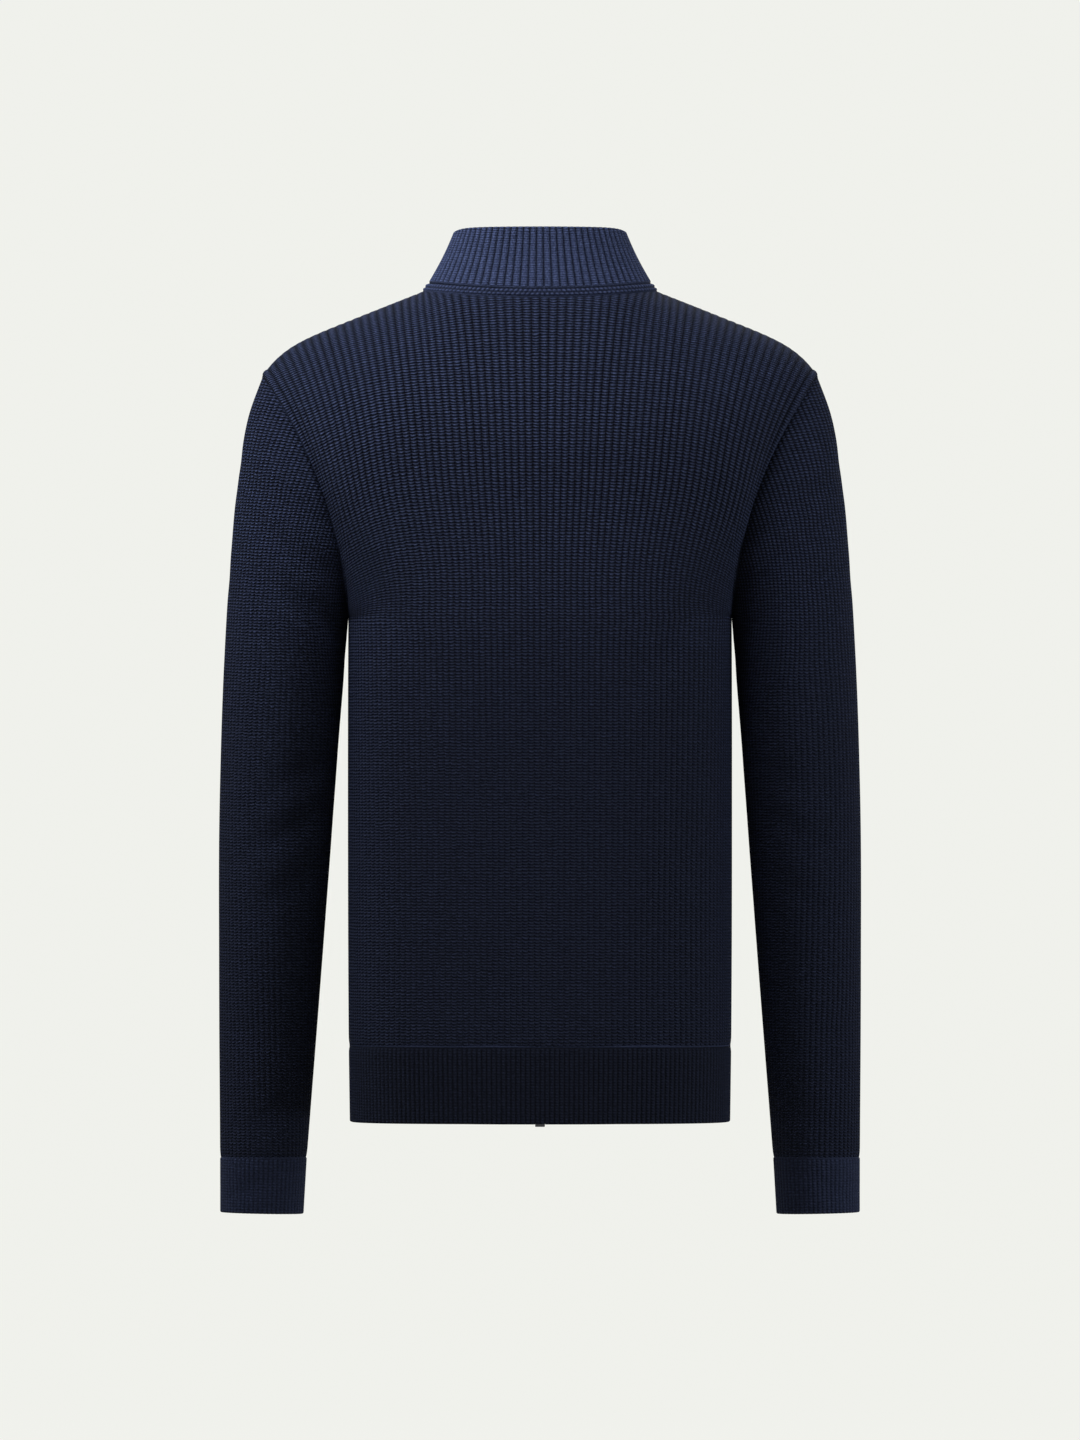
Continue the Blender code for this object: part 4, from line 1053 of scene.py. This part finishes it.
STITCH_FROM_EDGE = 0.0042
STITCH_LENGTH = 0.0030
STITCH_STEP = 0.0040
THREAD_RADIUS = 0.00035
THREAD_SIDES = 6


def stitch_lines():
    """Short paths of four points, each lying on the front's surface with its ends sunk in."""
    strip = front_strip([FRONT_EDGE + STITCH_FROM_EDGE, FRONT_EDGE + STITCH_FROM_EDGE + 0.001])
    paths = []
    for start in np.arange(0.006, FRONT_LENGTH - 0.008, STITCH_STEP):
        spots = cut_strip(strip, start + STITCH_LENGTH * np.array((0.0, 0.2, 0.8, 1.0)))
        sunk = np.array((-0.0012, -0.0001, -0.0001, -0.0012))[:, None]
        paths.append(spots[:, 0] + normals_of(spots)[:, 0] * sunk)
    return paths


lines = stitch_lines()
points, faces = yarn_tubes(lines + [line * MIRROR for line in lines], THREAD_RADIUS, THREAD_SIDES)
thread = mesh_piece("zip_stitching", points, faces, seam_yarn)
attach(thread, "garment")

# ------------------------------------------------------------------------------------------------
# Studio: a round pale floor that curves up into a wall all round, farther off than the camera, a soft
# light right above the garment, one at each side, and one each behind and in front.

FLOOR = -1.150
WALL_AWAY, COVE, WALL_HEIGHT = 18.0, 4.0, 12.0
PAPER = (0.872, 0.880, 0.838)

bend = np.linspace(0.0, math.pi / 2, 25)
reach = np.concatenate([[0.1], WALL_AWAY - COVE + COVE * np.sin(bend), [WALL_AWAY]])[:, None]
rise = FLOOR + np.concatenate([[0.0], COVE - COVE * np.cos(bend), [WALL_HEIGHT]])[:, None]
turn = np.linspace(0.0, 2 * math.pi, 96, endpoint=False)
grid = np.stack(np.broadcast_arrays(reach * np.cos(turn), reach * np.sin(turn), rise), axis=2)
index = np.arange(grid.shape[0] * len(turn)).reshape(-1, len(turn))
turned = np.roll(index, -1, axis=1)
faces = np.stack([index[:-1], index[1:], turned[1:], turned[:-1]], axis=-1).reshape(-1, 4)
paper = bpy.data.materials.new("pale studio paper")
paper.use_nodes = True
paper_shader = paper.node_tree.nodes["Principled BSDF"]
paper_shader.inputs["Base Color"].default_value = (0.05, 0.05, 0.05, 1.0)
paper_shader.inputs["Roughness"].default_value = 1.0
paper_shader.inputs["Specular IOR Level"].default_value = 0.0
paper_shader.inputs["Emission Color"].default_value = (*PAPER, 1.0)
paper_shader.inputs["Emission Strength"].default_value = 0.995
floor = mesh_piece("studio_floor", grid.reshape(-1, 3), [faces, index[:1]], paper)
floor.visible_diffuse = False
floor.visible_shadow = False

world = bpy.data.worlds.new("studio")
bpy.context.scene.world = world
world.use_nodes = True
world.node_tree.nodes["Background"].inputs["Color"].default_value = (0.90, 0.95, 1.0, 1.0)
world.node_tree.nodes["Background"].inputs["Strength"].default_value = 0.05


def soft_light(name, spot, aim, size, power):
    lamp = bpy.data.lights.new(name, "AREA")
    lamp.shape = "RECTANGLE"
    lamp.size, lamp.size_y = size
    lamp.energy = power
    made = bpy.data.objects.new(name, lamp)
    bpy.context.scene.collection.objects.link(made)
    made.location = spot
    away = np.array(spot) - np.array(aim)
    tilt = math.atan2(math.hypot(away[0], away[1]), away[2])
    made.rotation_euler = (tilt, 0.0, math.atan2(away[0], -away[1]))


soft_light("light above", (0.42, 0.45, 0.80), (0.06, 0.05, -0.15), (0.9, 0.6), 16.0)
soft_light("light behind", (0.3, 3.0, 1.6), (0.0, 0.0, -0.30), (2.0, 1.4), 3.5)
soft_light("light on the left", (2.2, 0.7, 0.1), (0.0, 0.0, -0.40), (0.8, 2.0), 16.0)
soft_light("light on the right", (-2.2, 0.8, -0.5), (0.0, 0.0, -0.50), (0.8, 1.6), 25.0)
soft_light("light on the front", (-0.8, -2.6, 1.4), (0.0, 0.0, -0.30), (2.0, 1.6), 30.0)

# ------------------------------------------------------------------------------------------------
# Camera: level, behind the garment and a long way off, so that the perspective is weak. It is framed as in
# the photo.

PIXEL = 0.00084  # metres to a pixel of the photo at the garment
PHOTO_HEIGHT = 1440
PHOTO_MIDDLE_Z = (293 - PHOTO_HEIGHT / 2) * PIXEL
CAMERA_AWAY = 12.0
SENSOR = 36.0

camera = bpy.data.cameras.new("camera")
camera.sensor_width = SENSOR
camera.sensor_fit = "AUTO"
camera.lens = SENSOR * CAMERA_AWAY / (PHOTO_HEIGHT * PIXEL)
camera.clip_end = 60.0
camera_object = bpy.data.objects.new("camera", camera)
bpy.context.scene.collection.objects.link(camera_object)
camera_object.location = (0.0, CAMERA_AWAY, PHOTO_MIDDLE_Z)
camera_object.rotation_euler = (math.pi / 2, 0.0, math.pi)
bpy.context.scene.camera = camera_object
bpy.context.scene.view_settings.view_transform = "Standard"
